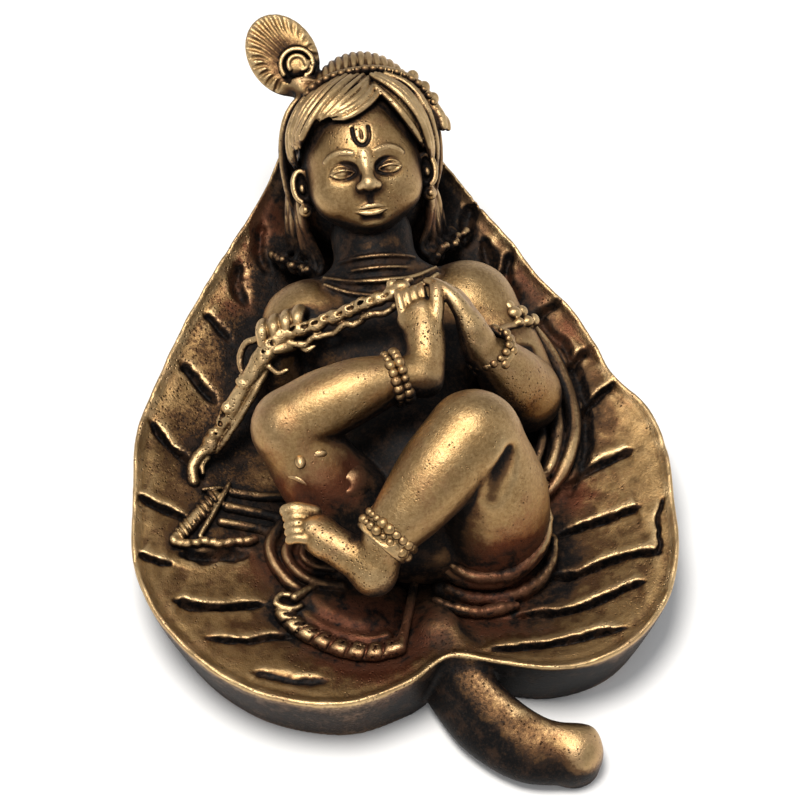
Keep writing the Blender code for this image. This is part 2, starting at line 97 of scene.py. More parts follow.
# The leaf's outline: shares of its half width and of its length, anticlockwise from the notch
LEAF_OUTLINE = (
    (0.095, -0.395), (0.27, -0.412), (0.49, -0.430), (0.72, -0.410), (0.90, -0.347), (0.985, -0.268),
    (1.012, -0.175), (1.02, -0.095), (0.98, -0.025), (0.88, 0.032), (0.83, 0.088), (0.76, 0.150),
    (0.66, 0.202), (0.575, 0.265), (0.455, 0.340), (0.345, 0.415), (0.22, 0.482), (0.09, 0.540),
    (-0.01, 0.556), (-0.14, 0.538), (-0.275, 0.462), (-0.40, 0.372), (-0.575, 0.280), (-0.735, 0.189),
    (-0.862, 0.098), (-0.955, 0.018), (-0.99, -0.090), (-1.01, -0.185), (-0.97, -0.257), (-0.895, -0.315),
    (-0.755, -0.379), (-0.563, -0.427), (-0.302, -0.450), (-0.07, -0.428),
)
HEART_Y_SHARE = -0.05

# The veins cut in the leaf, each from its outer end inwards, then depth, width and lip
VEINS = (
    (((26.4, -6.9), (24.1, -7.4), (21.8, -7.9), (18.7, -9.4)), 1.1, 0.42, 0.6),
    (((26.0, -14.4), (23.9, -14.7), (21.5, -14.9), (17.0, -15.7)), 1.2, 0.34, 1.0),
    (((27.2, -20.9), (24.6, -20.3), (21.3, -20.5), (18.0, -21.4), (14.6, -21.2)), 1.3, 0.36, 1.0),
    (
        ((24.9, -24.2), (23.3, -24.4), (20.2, -25.3), (16.8, -26.1), (12.5, -25.9), (10.6, -25.9)),
        1.2, 0.33, 1.0,
    ),
    (
        ((21.9, -30.0), (19.0, -29.9), (17.0, -30.1), (14.3, -30.4), (9.7, -30.6), (7.6, -30.7)),
        1.0, 0.32, 0.9,
    ),
    (((25.9, 1.8), (23.3, 0.4), (21.4, -1.0)), 1.2, 0.36, 1.0),
    (((23.4, 6.6), (22.2, 5.8), (20.8, 5.0)), 1.2, 0.46, 0.7),
    (((21.2, 13.1), (19.7, 12.5), (18.2, 11.5)), 1.2, 0.44, 0.7),
    (((16.7, 20.2), (15.8, 18.2), (15.8, 16.3), (16.4, 14.6)), 1.4, 0.60, 0.3),
    (((12.9, 27.0), (12.1, 25.2), (11.6, 22.6)), 1.4, 0.85, 0.3),
    (((13.8, 22.6), (14.0, 20.8), (14.6, 19.0)), 1.3, 0.70, 0.3),
    (((8.6, 33.0), (7.9, 30.4)), 0.9, 0.4, 0.4),
    (((-26.5, 2.9), (-24.7, -0.1), (-22.9, -1.6), (-21.4, -4.2)), 1.3, 0.36, 0.8),
    (((-22.4, 10.2), (-20.7, 7.9), (-19.2, 5.9)), 1.2, 0.50, 0.6),
    (((-19.3, 16.2), (-18.1, 15.0), (-16.9, 13.4)), 0.8, 0.34, 0.5),
    (((-28.6, -6.9), (-27.4, -7.6), (-25.5, -8.6), (-23.4, -9.8)), 1.1, 0.34, 1.0),
    (((-29.0, -14.3), (-27.9, -14.9), (-25.8, -15.5)), 1.0, 0.34, 0.9),
    (((-25.5, -20.4), (-23.1, -21.1), (-20.0, -21.2), (-16.7, -20.9)), 1.5, 0.52, 0.8),
    (((-22.7, -25.5), (-18.7, -25.9), (-16.1, -25.5), (-13.4, -25.5)), 0.8, 0.30, 0.7),
    (((-18.0, -30.4), (-15.9, -31.0), (-13.8, -31.8), (-11.0, -32.0)), 0.6, 0.75, 0.3),
    (((-11.6, 27.4), (-12.3, 24.7), (-11.7, 22.0)), 1.3, 0.80, 0.3),
    (((-14.6, 22.5), (-15.3, 20.6), (-14.6, 17.8)), 1.2, 0.75, 0.3),
    (((-24.4, -14.2), (-17.9, -14.1)), 1.5, 0.85, 0.0),
    (
        ((18.6, 12.0), (19.6, 10.0), (21.0, 7.6), (22.0, 3.4), (22.2, -1.0), (21.2, -6.6), (19.0, -10.4)),
        0.8, 0.60, 0.0,
    ),
    (((28.8, -14.0), (27.6, -16.6), (27.4, -19.4), (26.9, -21.0)), 0.8, 0.22, 0.3),
)


def smooth_step(low, high, value):
    share = np.clip((value - low) / (high - low), 0.0, 1.0)
    return share * share * (3.0 - 2.0 * share)


def smooth_path(points, steps, closed=False):
    """Points along the Catmull-Rom curve through these points, with any further columns."""
    points = np.asarray(points, float)
    count = len(points)
    found = []
    for i in range(count if closed else count - 1):
        if closed:
            a, b, c, d = (points[(i + k) % count] for k in (-1, 0, 1, 2))
        else:
            a, b, c, d = (points[min(max(i + k, 0), count - 1)] for k in (-1, 0, 1, 2))
        for t in np.arange(steps) / steps:
            line = 2.0 * b + (c - a) * t
            bend = (2.0 * a - 5.0 * b + 4.0 * c - d) * t * t
            twist = (3.0 * b - a - 3.0 * c + d) * t * t * t
            found.append(0.5 * (line + bend + twist))
    if not closed:
        found.append(points[-1])
    return np.array(found)


def lumps(points, size, seed):
    """Smooth noise between -1 and 1 at these points, its lumps about this many millimetres."""
    table = np.random.default_rng(seed).uniform(-1.0, 1.0, (NOISE_CELLS,) * 3).astype(np.float32)
    spot = np.asarray(points, float) / size
    base = np.floor(spot).astype(int)
    share = spot - base
    share = share * share * (3.0 - 2.0 * share)
    total = 0.0
    for corner in np.ndindex(2, 2, 2):
        weight = np.prod(np.where(corner, share, 1.0 - share), axis=-1)
        at = (base + corner) % NOISE_CELLS
        total = total + weight * table[at[..., 0], at[..., 1], at[..., 2]]
    return total


class Clay:
    """A block of distances to a surface, in millimetres, that forms are added to and cut from."""

    def __init__(self, low, high, step, frame=None):
        self.step = step
        self.low = np.array(low, float)
        self.size = np.ceil((np.array(high, float) - self.low) / step).astype(int) + 1
        self.field = np.full(self.size, FAR, np.float32)
        self.frame = frame or Matrix.Identity(4)
        self.place = None

    def window(self, low, high):
        """The cells between these corners, and their coordinates along each axis."""
        first = np.floor((np.asarray(low) - self.low) / self.step).astype(int)
        last = np.ceil((np.asarray(high) - self.low) / self.step).astype(int) + 1
        first = np.clip(first, 0, self.size)
        last = np.clip(last, first, self.size)
        axes = []
        for axis in range(3):
            cells = np.arange(first[axis], last[axis])
            shape = [1, 1, 1]
            shape[axis] = -1
            axes.append((self.low[axis] + self.step * cells).astype(np.float32).reshape(shape))
        return tuple(slice(a, b) for a, b in zip(first, last)), axes

    def blank(self, low, high):
        """An empty block on the same cells, to be merged back later."""
        cells, _ = self.window(low, high)
        part = Clay(self.low, self.low, self.step, self.frame)
        start = np.array([c.start for c in cells])
        part.low = self.low + self.step * start
        part.size = np.array([c.stop - c.start for c in cells])
        part.field = np.full(part.size, FAR, np.float32)
        part.place = cells
        return part

    def merge(self, part, blend=0.3, cut=False):
        self.press(part.place, part.field, blend, cut)

    def press(self, cells, shape, blend, cut):
        """Adds the shape to these cells, or cuts it, rounding the join by the blend."""
        here = self.field[cells]
        if cut:
            soft = np.maximum(blend - np.abs(here + shape), 0.0) / blend
            self.field[cells] = np.maximum(here, -shape) + soft * soft * blend * 0.25
        else:
            soft = np.maximum(blend - np.abs(here - shape), 0.0) / blend
            self.field[cells] = np.minimum(here, shape) - soft * soft * blend * 0.25

    def bar(self, points, blend=0.3, steps=5, cut=False):
        """A round bar through points that each have a radius."""
        path = smooth_path(points, steps)
        margin = max(blend, 3.0 * self.step) + 0.2
        reach = path[:, 3:4] + margin
        low = (path[:, :3] - reach).min(axis=0)
        high = (path[:, :3] + reach).max(axis=0)
        whole, _ = self.window(low, high)
        shape = np.full([c.stop - c.start for c in whole], FAR, np.float32)
        if not shape.size:
            return
        for a, b in zip(path[:-1], path[1:]):
            most = max(a[3], b[3]) + margin
            near = np.maximum(np.minimum(a, b)[:3] - most, low)
            own, axes = self.window(near, np.minimum(np.maximum(a, b)[:3] + most, high))
            inside = tuple(slice(o.start - w.start, o.stop - w.start) for o, w in zip(own, whole))
            run = b[:3] - a[:3]
            away = [axis - float(a[i]) for i, axis in enumerate(axes)]
            along = sum(away[i] * float(run[i]) for i in range(3)) / max(float(run @ run), 1e-9)
            along = np.clip(along, 0.0, 1.0)
            away = [away[i] - along * float(run[i]) for i in range(3)]
            square = away[0] ** 2 + away[1] ** 2 + away[2] ** 2
            distance = np.sqrt(square) - (float(a[3]) + along * float(b[3] - a[3]))
            shape[inside] = np.minimum(shape[inside], distance)
        self.press(whole, shape, blend, cut)

    def ball(self, centre, radii, blend=0.3, cut=False, turn=None):
        """An ellipsoid, turned by a 3 by 3 matrix."""
        centre = np.asarray(centre, float)
        radii = np.asarray(radii, float)
        most = radii.max() + max(blend, 3.0 * self.step) + 0.2
        own, axes = self.window(centre - most, centre + most)
        away = [axis - float(centre[i]) for i, axis in enumerate(axes)]
        if turn is not None:
            rows = np.array(turn, float).T
            away = [sum(float(row[i]) * away[i] for i in range(3)) for row in rows]
        near = np.sqrt(sum((away[i] / radii[i]) ** 2 for i in range(3)))
        slope = np.sqrt(sum((away[i] / radii[i] ** 2) ** 2 for i in range(3)))
        self.press(own, (near * (near - 1.0) / np.maximum(slope, 1e-4)).astype(np.float32), blend, cut)

    def world(self, points):
        """Places in this block as places in the statue."""
        return points @ np.array(self.frame.to_3x3()).T + np.array(self.frame.translation)

    def local(self, points):
        """Places in the statue as places in this block."""
        turn = np.array(self.frame.to_3x3())
        return (points - np.array(self.frame.translation)) @ turn

    def at(self, points, field=None):
        """The distance at these places of the statue, read between the cells."""
        field = self.field if field is None else field
        spot = (self.local(points) - self.low) / self.step
        out = np.any((spot < 0.0) | (spot > self.size - 1.001), axis=1)
        spot = np.clip(spot, 0.0, self.size - 1.001)
        base = spot.astype(int)
        share = (spot - base).astype(np.float32)
        total = np.zeros(len(points), np.float32)
        for corner in np.ndindex(2, 2, 2):
            weight = np.prod(np.where(corner, share, 1.0 - share), axis=1)
            cell = base + corner
            total += weight * field[cell[:, 0], cell[:, 1], cell[:, 2]]
        total[out] = FAR
        return total

    def top(self, x, y, highest=None):
        """How high the surface is over this place of the block, seen from above it."""
        i = int(round((x - self.low[0]) / self.step))
        j = int(round((y - self.low[1]) / self.step))
        column = self.field[np.clip(i, 0, self.size[0] - 1), np.clip(j, 0, self.size[1] - 1)]
        if highest is not None:
            column = column[: int((highest - self.low[2]) / self.step)]
        inside = np.nonzero(column < 0.0)[0]
        if not len(inside):
            return self.low[2]
        k = inside[-1]
        if k + 1 >= len(column):
            return self.low[2] + self.step * k
        share = column[k] / (column[k] - column[k + 1])
        return self.low[2] + self.step * (k + float(share))

    def averaged(self, width, most=FAR):
        """The field with each cell averaged over this width, twice."""
        cells = max(1, int(round(0.5 * width / self.step)))
        soft = np.clip(self.field, -most, most)
        for axis in range(3):
            for _ in range(2):
                pad = [(0, 0)] * 3
                pad[axis] = (cells + 1, cells)
                total = np.cumsum(np.pad(soft, pad, mode="edge"), axis=axis, dtype=np.float32)
                upper = np.take(total, range(2 * cells + 1, total.shape[axis]), axis=axis)
                lower = np.take(total, range(0, total.shape[axis] - 2 * cells - 1), axis=axis)
                soft = (upper - lower) / (2 * cells + 1)
        return soft

    def skin(self):
        """The surface as points of the statue and quads, one point in each cell it crosses."""
        inside = self.field < 0.0
        for axis in range(3):
            edge = np.moveaxis(inside, axis, 0)
            edge[0] = False
            edge[-1] = False
        corners = list(np.ndindex(2, 2, 2))
        count = np.zeros(self.size - 1, np.int8)
        for corner in corners:
            cells = tuple(slice(c, c + n) for c, n in zip(corner, count.shape))
            count += inside[cells]
        active = (count > 0) & (count < 8)
        cells = np.argwhere(active)
        number = np.full(active.shape, -1, np.int32)
        number[active] = np.arange(len(cells), dtype=np.int32)
        value = {}
        for corner in corners:
            spot = cells + corner
            found = self.field[spot[:, 0], spot[:, 1], spot[:, 2]]
            kept = inside[spot[:, 0], spot[:, 1], spot[:, 2]]
            value[corner] = np.where(kept, np.minimum(found, -1e-5), np.maximum(found, 1e-5))
        total = np.zeros((len(cells), 3))
        hits = np.zeros(len(cells))
        for a in corners:
            for axis in range(3):
                if a[axis]:
                    continue
                b = tuple(1 if i == axis else a[i] for i in range(3))
                crossed = (value[a] < 0.0) != (value[b] < 0.0)
                share = value[a][crossed] / (value[a][crossed] - value[b][crossed])
                point = np.tile(np.array(a, float), (len(share), 1))
                point[:, axis] = share
                total[crossed] += point
                hits[crossed] += 1.0
        points = self.low + self.step * (cells + total / hits[:, None])
        quads = []
        for axis in range(3):
            one, two = (axis + 1) % 3, (axis + 2) % 3
            moved = np.moveaxis(inside, (axis, one, two), (0, 1, 2))
            change = moved[:-1, 1:-1, 1:-1] != moved[1:, 1:-1, 1:-1]
            where = np.argwhere(change) + (0, 1, 1)
            outward = moved[where[:, 0], where[:, 1], where[:, 2]]
            ring = []
            for step_one, step_two in ((-1, -1), (0, -1), (0, 0), (-1, 0)):
                spot = np.zeros_like(where)
                spot[:, axis] = where[:, 0]
                spot[:, one] = where[:, 1] + step_one
                spot[:, two] = where[:, 2] + step_two
                ring.append(number[spot[:, 0], spot[:, 1], spot[:, 2]])
            ring = np.stack(ring, axis=1)
            quads.append(np.where(outward[:, None], ring, ring[:, ::-1]))
        quads = np.concatenate(quads)
        return self.world(points), quads[(quads >= 0).all(axis=1)]


def bar(*points, **settings):
    """A bar for a group of forms."""
    return "bar", points, settings


def ball(centre, radii, **settings):
    """A ball for a group of forms."""
    return "ball", (centre, radii), settings


class Shaper:
    """Puts forms given in parts of the figure into a block of clay."""

    def __init__(self, clay, scale, origin=(0.0, 0.0, 0.0)):
        self.clay = clay
        self.scale = scale
        self.origin = np.array(origin, float)

    def top(self, x, y, highest=None):
        """How high the clay is over this place, in parts."""
        most = None if highest is None else highest * self.scale
        return self.clay.top(x * self.scale, y * self.scale, most) / self.scale

    def rows(self, points):
        rows = np.array([point[:4] for point in points], float)
        rows[:, :3] = self.origin + rows[:, :3] * self.scale
        rows[:, 3] *= self.scale
        return rows

    def spot(self, point):
        return self.origin + np.array(point, float) * self.scale

    def bar(self, points, **settings):
        self.clay.bar(self.rows(points), **settings)

    def ball(self, centre, radii, **settings):
        self.clay.ball(self.spot(centre), np.array(radii, float) * self.scale, **settings)

    def group(self, *forms, inner=1.2, blend=0.3, smooth=0.0):
        """Forms merged softly with each other first, then with the rest of the clay."""
        lows = []
        highs = []
        for kind, form, _ in forms:
            if kind == "bar":
                rows = self.rows(form)
                lows.append((rows[:, :3] - rows[:, 3:]).min(axis=0))
                highs.append((rows[:, :3] + rows[:, 3:]).max(axis=0))
            else:
                most = np.max(form[1]) * self.scale
                lows.append(self.spot(form[0]) - most)
                highs.append(self.spot(form[0]) + most)
        margin = 2.0 + max(blend, inner)
        part = self.clay.blank(np.min(lows, axis=0) - margin, np.max(highs, axis=0) + margin)
        helper = Shaper(part, self.scale, self.origin)
        for kind, form, settings in forms:
            if kind == "bar":
                helper.bar(form, blend=inner, **settings)
            else:
                helper.ball(*form, blend=inner, **settings)
        if smooth:
            part.field = part.averaged(smooth)
        self.clay.merge(part, blend)


class Leaf:
    """The leaf's outline and the height of its upper face, in millimetres."""

    def __init__(self, sizes):
        self.half = 500.0 * sizes.leaf_width
        self.length = TO_MM * sizes.leaf_length
        self.floor = TO_MM * sizes.floor_thickness
        self.rim = TO_MM * sizes.rim_height
        self.tip = TO_MM * sizes.tip_height
        self.undercut = TO_MM * sizes.undercut
        self.vein_depth = TO_MM * sizes.vein_depth
        self.heart = np.array([0.0, HEART_Y_SHARE * self.length])
        scale = np.array([self.half, self.length])
        rim = smooth_path(np.array(LEAF_OUTLINE) * scale, 24, closed=True) - self.heart
        angle = np.arctan2(rim[:, 1], rim[:, 0])
        order = np.argsort(angle)
        self.angle = angle[order]
        self.reach = np.hypot(rim[:, 0], rim[:, 1])[order]

    def rim_at(self, angle):
        return np.interp(angle, self.angle, self.reach, period=2.0 * math.pi)

    def rim_height(self, y):
        return self.rim + (self.tip - self.rim) * smooth_step(0.0, 0.55 * self.length, y)

    def plain_top(self, x, y):
        """Height of the dished face before its veins, and how far inside the rim it is."""
        dx = x - self.heart[0]
        dy = y - self.heart[1]
        angle = np.arctan2(dy, dx)
        reach = self.rim_at(angle)
        away = np.hypot(dx, dy)
        share = np.clip(away / reach, 0.0, 1.0)
        rim = self.rim_height(self.heart[1] + reach * np.sin(angle))
        return self.floor + (rim - self.floor) * share**2.2, reach - away

    def top(self, x, y):
        """Height of the upper face: each vein is a slit below the raised hem of a blade."""
        height, inward = self.plain_top(x, y)
        flat = np.stack([x, y, 0.0 * x], axis=-1)
        rim_wear = 1.0 + 0.7 * lumps(flat, 1.9, 7)
        height = height + 0.19 * rim_wear * np.exp(-((inward - 0.35) ** 2) / 0.16)
        height = height - 0.12 * np.exp(-((inward - 1.4) ** 2) / 0.30)
        height = height + 0.10 * lumps(flat, 3.6, 5) + 0.05 * lumps(flat, 1.3, 6)
        jagged = 0.10 * lumps(flat, 0.9, 9) + 0.07 * lumps(flat, 0.45, 10)
        wide = 0.82 + 0.40 * lumps(flat, 1.7, 11)
        for line, deep, width, lip in VEINS:
            side, share = beside_line(x, y, smooth_path(line, 5))
            side = side + jagged
            fade = smooth_step(0.0, 0.14, share) * (1.0 - 0.6 * smooth_step(0.8, 1.0, share))
            away = np.abs(side) / (width * wide * (0.55 + 0.45 * fade))
            deep = deep * self.vein_depth
            raised = np.where(side > 0.0, np.exp(-side / 1.7) * smooth_step(0.0, 0.45, side), 0.0)
            sunk = np.where(side > 0.0, 0.0, np.exp(side / 1.5))
            height = height + fade * lip * self.vein_depth * (0.46 * raised - 0.42 * sunk)
            height = height - (0.3 + 0.7 * fade) * deep * np.exp(-(away**2.2))
        return height


def beside_line(x, y, line):
    """How far each place is from a line, above zero on its tip side, and its share along it."""
    nearest = np.full(x.shape, 1e9)
    side = np.zeros(x.shape)
    share = np.zeros(x.shape)
    count = len(line) - 1
    for number, (a, b) in enumerate(zip(line[:-1], line[1:])):
        run = b - a
        along = np.clip(((x - a[0]) * run[0] + (y - a[1]) * run[1]) / float(run @ run), 0.0, 1.0)
        dx = x - a[0] - along * run[0]
        dy = y - a[1] - along * run[1]
        gap = np.hypot(dx, dy)
        nearer = gap < nearest
        above = (dy * abs(run[0]) - dx * run[1] * np.sign(run[0])) >= 0.0
        side = np.where(nearer, np.where(above, gap, -gap), side)
        share = np.where(nearer, (number + along) / count, share)
        nearest = np.where(nearer, gap, nearest)
    return side, share


def head_frame(sizes):
    """The head's own directions: to its side, up to its crown, and out of its face."""
    part = part_size(sizes)
    turn = Matrix.Rotation(math.radians(90.0) - sizes.head_tilt, 4, "X")
    turn = turn @ Matrix.Rotation(sizes.head_roll, 4, "Z")
    centre = Vector((-0.1 * part, 24.7 * part, TO_MM * sizes.floor_thickness + 19.8 * part))
    return Matrix.Translation(centre) @ turn


def part_size(sizes):
    """One part of the child's length, in millimetres."""
    return TO_MM * sizes.figure_length / PARTS


def step_of(sizes, finest):
    """The size of a cell, in millimetres."""
    return finest * sizes.grain * 1.0


def settle(obj):
    """Puts the object's modifiers into its mesh."""
    graph = bpy.context.evaluated_depsgraph_get()
    mesh = bpy.data.meshes.new_from_object(obj.evaluated_get(graph), depsgraph=graph)
    old = obj.data
    obj.modifiers.clear()
    obj.data = mesh
    bpy.data.meshes.remove(old)


def keep_piece(obj, clay_name):
    """Smooth shading, the brass and its place in the frame."""
    obj.data.shade_smooth()
    obj.data.materials.clear()
    obj.data.materials.append(brass())
    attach(obj, BODY_NAME)
    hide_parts(FRAME_NODE)
    PIECES.append((obj, clay_name))


def cast(name, clay, most, uneven=0.0):
    """The clay's skin as an object of at most this many triangles."""
    points, quads = clay.skin()
    mesh = bpy.data.meshes.new(name)
    mesh.vertices.add(len(points))
    mesh.vertices.foreach_set("co", (points * TO_M).astype(np.float32).ravel())
    mesh.loops.add(4 * len(quads))
    mesh.loops.foreach_set("vertex_index", quads.astype(np.int32).ravel())
    mesh.polygons.add(len(quads))
    mesh.polygons.foreach_set("loop_start", np.arange(0, 4 * len(quads), 4, dtype=np.int32))
    mesh.update(calc_edges=True)
    mesh.validate()
    obj = bpy.data.objects.new(name, mesh)
    bpy.context.scene.collection.objects.link(obj)
    soften = obj.modifiers.new("Soften", "SMOOTH")
    soften.factor = 0.35
    soften.iterations = 1
    most = most * 1.0
    if 2 * len(quads) > most:
        thin = obj.modifiers.new("Thin", "DECIMATE")
        thin.ratio = most / (2.0 * len(quads))
        thin.use_collapse_triangulate = True
    settle(obj)
    if uneven:
        shift_skin(obj, uneven)
    CLAYS[name] = clay
    keep_piece(obj, name)
    return obj


def shift_skin(obj, uneven):
    """Moves the surface in and out a little, as on a casting."""
    mesh = obj.data
    spots = read_points(mesh)
    shift = uneven * (0.6 * lumps(spots, 1.5, 21) + 0.4 * lumps(spots, 0.6, 22))
    spots = spots + shift[:, None] * read_normals(mesh)
    mesh.vertices.foreach_set("co", (spots * TO_M).astype(np.float32).ravel())
    mesh.update()


def read_points(mesh):
    """The mesh's points, in millimetres."""
    spots = np.empty(len(mesh.vertices) * 3, np.float32)
    mesh.vertices.foreach_get("co", spots)
    return spots.reshape(-1, 3).astype(float) * TO_MM


def read_normals(mesh):
    normals = np.empty(len(mesh.vertices) * 3, np.float32)
    mesh.vertices.foreach_get("normal", normals)
    return normals.reshape(-1, 3).astype(float)


# The leaf and its stem


def sculpt_leaf(sizes):
    leaf = Leaf(sizes)
    clay = Clay((-31.5, -46.5, -0.8), (31.5, 45.5, 16.0), step_of(sizes, 0.2))
    cells, (x, y, z) = clay.window(clay.low, clay.low + clay.step * clay.size)
    flat_x, flat_y = np.broadcast_arrays(x[:, :, 0].astype(float), y[:, :, 0].astype(float))
    height = leaf.top(flat_x, flat_y)
    slope = np.gradient(height, clay.step)
    steep = np.sqrt(1.0 + slope[0] ** 2 + slope[1] ** 2)
    angle = np.arctan2(flat_y - leaf.heart[1], flat_x - leaf.heart[0])
    reach = leaf.rim_at(angle)
    turn = 0.01
    bend = (leaf.rim_at(angle + turn) - leaf.rim_at(angle - turn)) / (2.0 * turn * reach)
    lean = 1.0 / np.sqrt(1.0 + bend**2)
    away = np.hypot(flat_x - leaf.heart[0], flat_y - leaf.heart[1])
    rim_y = leaf.heart[1] + reach * np.sin(angle)
    rim = leaf.rim_height(rim_y)
    under = leaf.undercut * (
        0.4 + 0.6 * np.abs(np.cos(angle)) + smooth_step(-0.1, 0.45, rim_y / leaf.length)
    )
    down = np.clip(1.0 - z / rim[:, :, None], 0.0, 1.0)
    wall = ((away - reach)[:, :, None] + under[:, :, None] * down**1.2) * lean[:, :, None]
    over = (z - height[:, :, None]) / steep[:, :, None]
    blend = 0.7
    soft = np.maximum(blend - np.abs(wall - over), 0.0) / blend
    shape = np.maximum(wall, over) + soft * soft * blend * 0.25
    clay.field[cells] = np.maximum(shape, -z).astype(np.float32)
    np.clip(clay.field, -FAR, FAR, out=clay.field)
    add_stem(clay, leaf, sizes)
    clay.field[:, :, :] = np.maximum(clay.field, -z)
    return clay


def add_stem(clay, leaf, sizes):
    """The stem rises out of the leaf's face, passes over the notch and swings to one side."""
    radius = TO_MM * sizes.stem_radius
    reach = TO_MM * sizes.stem_reach
    swing = TO_MM * sizes.stem_swing
    start_x = (LEAF_OUTLINE[0][0] - 0.03) * leaf.half
    notch_y = LEAF_OUTLINE[0][1] * leaf.length
    start_y = notch_y + 0.055 * leaf.length
    low = 0.95 * radius
    rim_z = leaf.rim - low
    points = [
        (start_x - 1.4, start_y + 5.5, rim_z - 2.2, 0.40 * radius),
        (start_x - 0.8, start_y + 3.0, rim_z - 1.0, 0.62 * radius),
        (start_x, start_y, rim_z, 0.85 * radius),
        (start_x + 0.10 * swing, notch_y, rim_z - 0.4, 0.95 * radius),
        (start_x + 0.30 * swing, notch_y - 0.46 * reach, low + 1.7, radius),
        (start_x + 0.62 * swing, notch_y - 0.82 * reach, low + 0.6, radius),
        (start_x + swing - 0.5, notch_y - reach + 0.9, low, 0.94 * radius),
    ]
    for x, y, z, r in points[:3]:
        clay.bar([(x, y, z - 0.6, 0.9 * r), (x, y, z, 0.9 * r)], blend=1.0)
    crest = [(x + 0.42 * r, y + 0.40 * r, z + 0.44 * r, 0.46 * r) for x, y, z, r in points]
    flank = [(x - 0.20 * r, y - 0.18 * r, 0.52 * (z + 0.36 * r), 0.66 * r) for x, y, z, r in points[2:]]
    foot = [(x - 0.30 * r, y - 0.28 * r, 0.72 * r, 0.74 * r) for x, y, z, r in points[3:]]
    part = clay.blank((-12.0, -47.0, -1.5), (24.0, -18.0, 13.0))
    core = [(x + 0.12 * r, y + 0.1 * r, z - 0.15 * r, 0.86 * r) for x, y, z, r in points[2:]]
    for path in (core, crest, flank, foot):
        part.bar(path, blend=1.0, steps=8)
    end = points[6]
    part.bar([(end[0], end[1], 0.0, 0.9 * radius), end], blend=1.0)
    part.field = part.averaged(0.6)
    clay.merge(part, 0.9)
    dent = points[5]
    clay.ball(
        (dent[0] + 1.0, dent[1] + 0.6, dent[2] + 1.25 * dent[3]),
        (1.9, 1.5, 0.8), blend=1.4, cut=True,
    )


# The child's body


def sculpt_body(sizes):
    part = part_size(sizes)
    clay = Clay((-17.0, -29.0, 3.0), (22.0, 24.5, 29.5), step_of(sizes, 0.165))
    body = Shaper(clay, part, (0.0, 0.0, TO_MM * sizes.floor_thickness))
    add_torso(body)
    add_far_arm(body)
    add_near_arm(body)
    add_folded_leg(body)
    add_raised_leg(body)
    add_neck_lines(body)
    return clay


def add_torso(body):
    body.group(
        ball((2.5, -14.0, 5.0), (9.8, 7.4, 5.8)),
        ball((2.0, -6.0, 6.3), (8.4, 9.5, 6.4)),
        ball((1.4, 6.0, 7.4), (10.2, 9.4, 6.2)),
        ball((-4.6, 8.0, 10.4), (4.4, 4.0, 3.0)),
        ball((6.4, 8.0, 10.6), (4.4, 4.0, 3.0)),
        bar((-6.8, 11.2, 8.0, 5.4), (1.0, 10.8, 8.6, 4.6), (10.2, 11.2, 8.4, 5.4)),
        bar((0.7, 12.0, 10.0, 4.4), (0.3, 19.0, 13.4, 4.6)),
        ball((0.5, 13.6, 10.8), (6.8, 3.9, 3.8)),
        inner=1.6,
    )
    body.ball((1.6, -3.5, 13.2), (0.5, 0.8, 0.9), blend=0.9, cut=True)


# Radius of the chains round the neck, in parts
NECK_RADIUS = 4.75


def add_neck_lines(body):
    """Thin chains round the neck, and a longer one over the chest with a small pendant."""
    low = np.array([0.7, 12.0, 10.0])
    high = np.array([0.3, 19.0, 13.4])
    for share in (0.26, 0.42, 0.58):
        tilt = high - low + np.array([0.6, 0.0, 1.4 * (0.4 - share)])
        ring = ring_path(low + share * (high - low), tilt, NECK_RADIUS)
        body.bar([(*row, 0.27) for row in ring], blend=0.2, steps=1)
    for shift in (0.0, 1.3):
        chain = []
        for x in np.linspace(-5.6, 7.0, 12):
            y = 11.4 - shift + 0.07 * (x - 0.7) ** 2
            height = body.top(x, y, 20.5)
            chain.append((x, y, height - body.origin[2] / body.scale + 0.05, 0.3))
        body.bar(chain, blend=0.2, steps=3)
    body.ball((-0.4, 11.6, 14.3), (0.9, 0.7, 0.6), blend=0.3)
    body.ball((1.4, 11.5, 14.4), (0.7, 0.6, 0.55), blend=0.3)
    body.ball((0.4, 10.2, 14.0), (0.55, 0.9, 0.5), blend=0.3)


def add_far_arm(body):
    """The arm on the rod's side."""
    body.group(
        ball((-7.6, 11.0, 8.6), (5.5, 5.2, 5.0)),
        bar((-7.4, 10.8, 8.0, 5.3), (-9.4, 7.6, 6.4, 4.4), (-10.8, 5.0, 5.6, 3.7)),
        inner=1.0, blend=0.5, smooth=0.8,
    )
    body.group(
        bar((-10.6, 5.0, 5.4, 3.4), (-11.6, 5.4, 9.6, 2.5), (-11.0, 6.4, 12.4, 1.7)),
        bar((-9.4, 7.5, 13.6, 1.3), (-11.2, 6.6, 13.4, 1.5), (-12.6, 5.4, 12.6, 1.1)),
        ball((-11.2, 6.2, 12.6), (2.2, 1.5, 1.6)),
        inner=0.7, blend=0.3,
    )
    for i in range(4):
        x = -12.9 + 1.35 * i
        y = 7.4 + 0.28 * i
        z = 14.1 + 0.28 * i
        body.group(
            bar(
                (x + 0.5, y + 0.9, z - 1.5, 0.6), (x, y + 0.5, z - 0.2, 0.75),
                (x - 0.4, y - 0.9, z + 0.45, 0.72), (x - 0.4, y - 2.0, z - 0.4, 0.6),
            ),
            inner=0.3, blend=0.12,
        )
    thumb = [(-9.8, 5.6, 12.8, 0.9), (-11.0, 4.8, 13.4, 0.75), (-12.0, 4.5, 13.6, 0.55)]
    body.bar(thumb, blend=0.4)


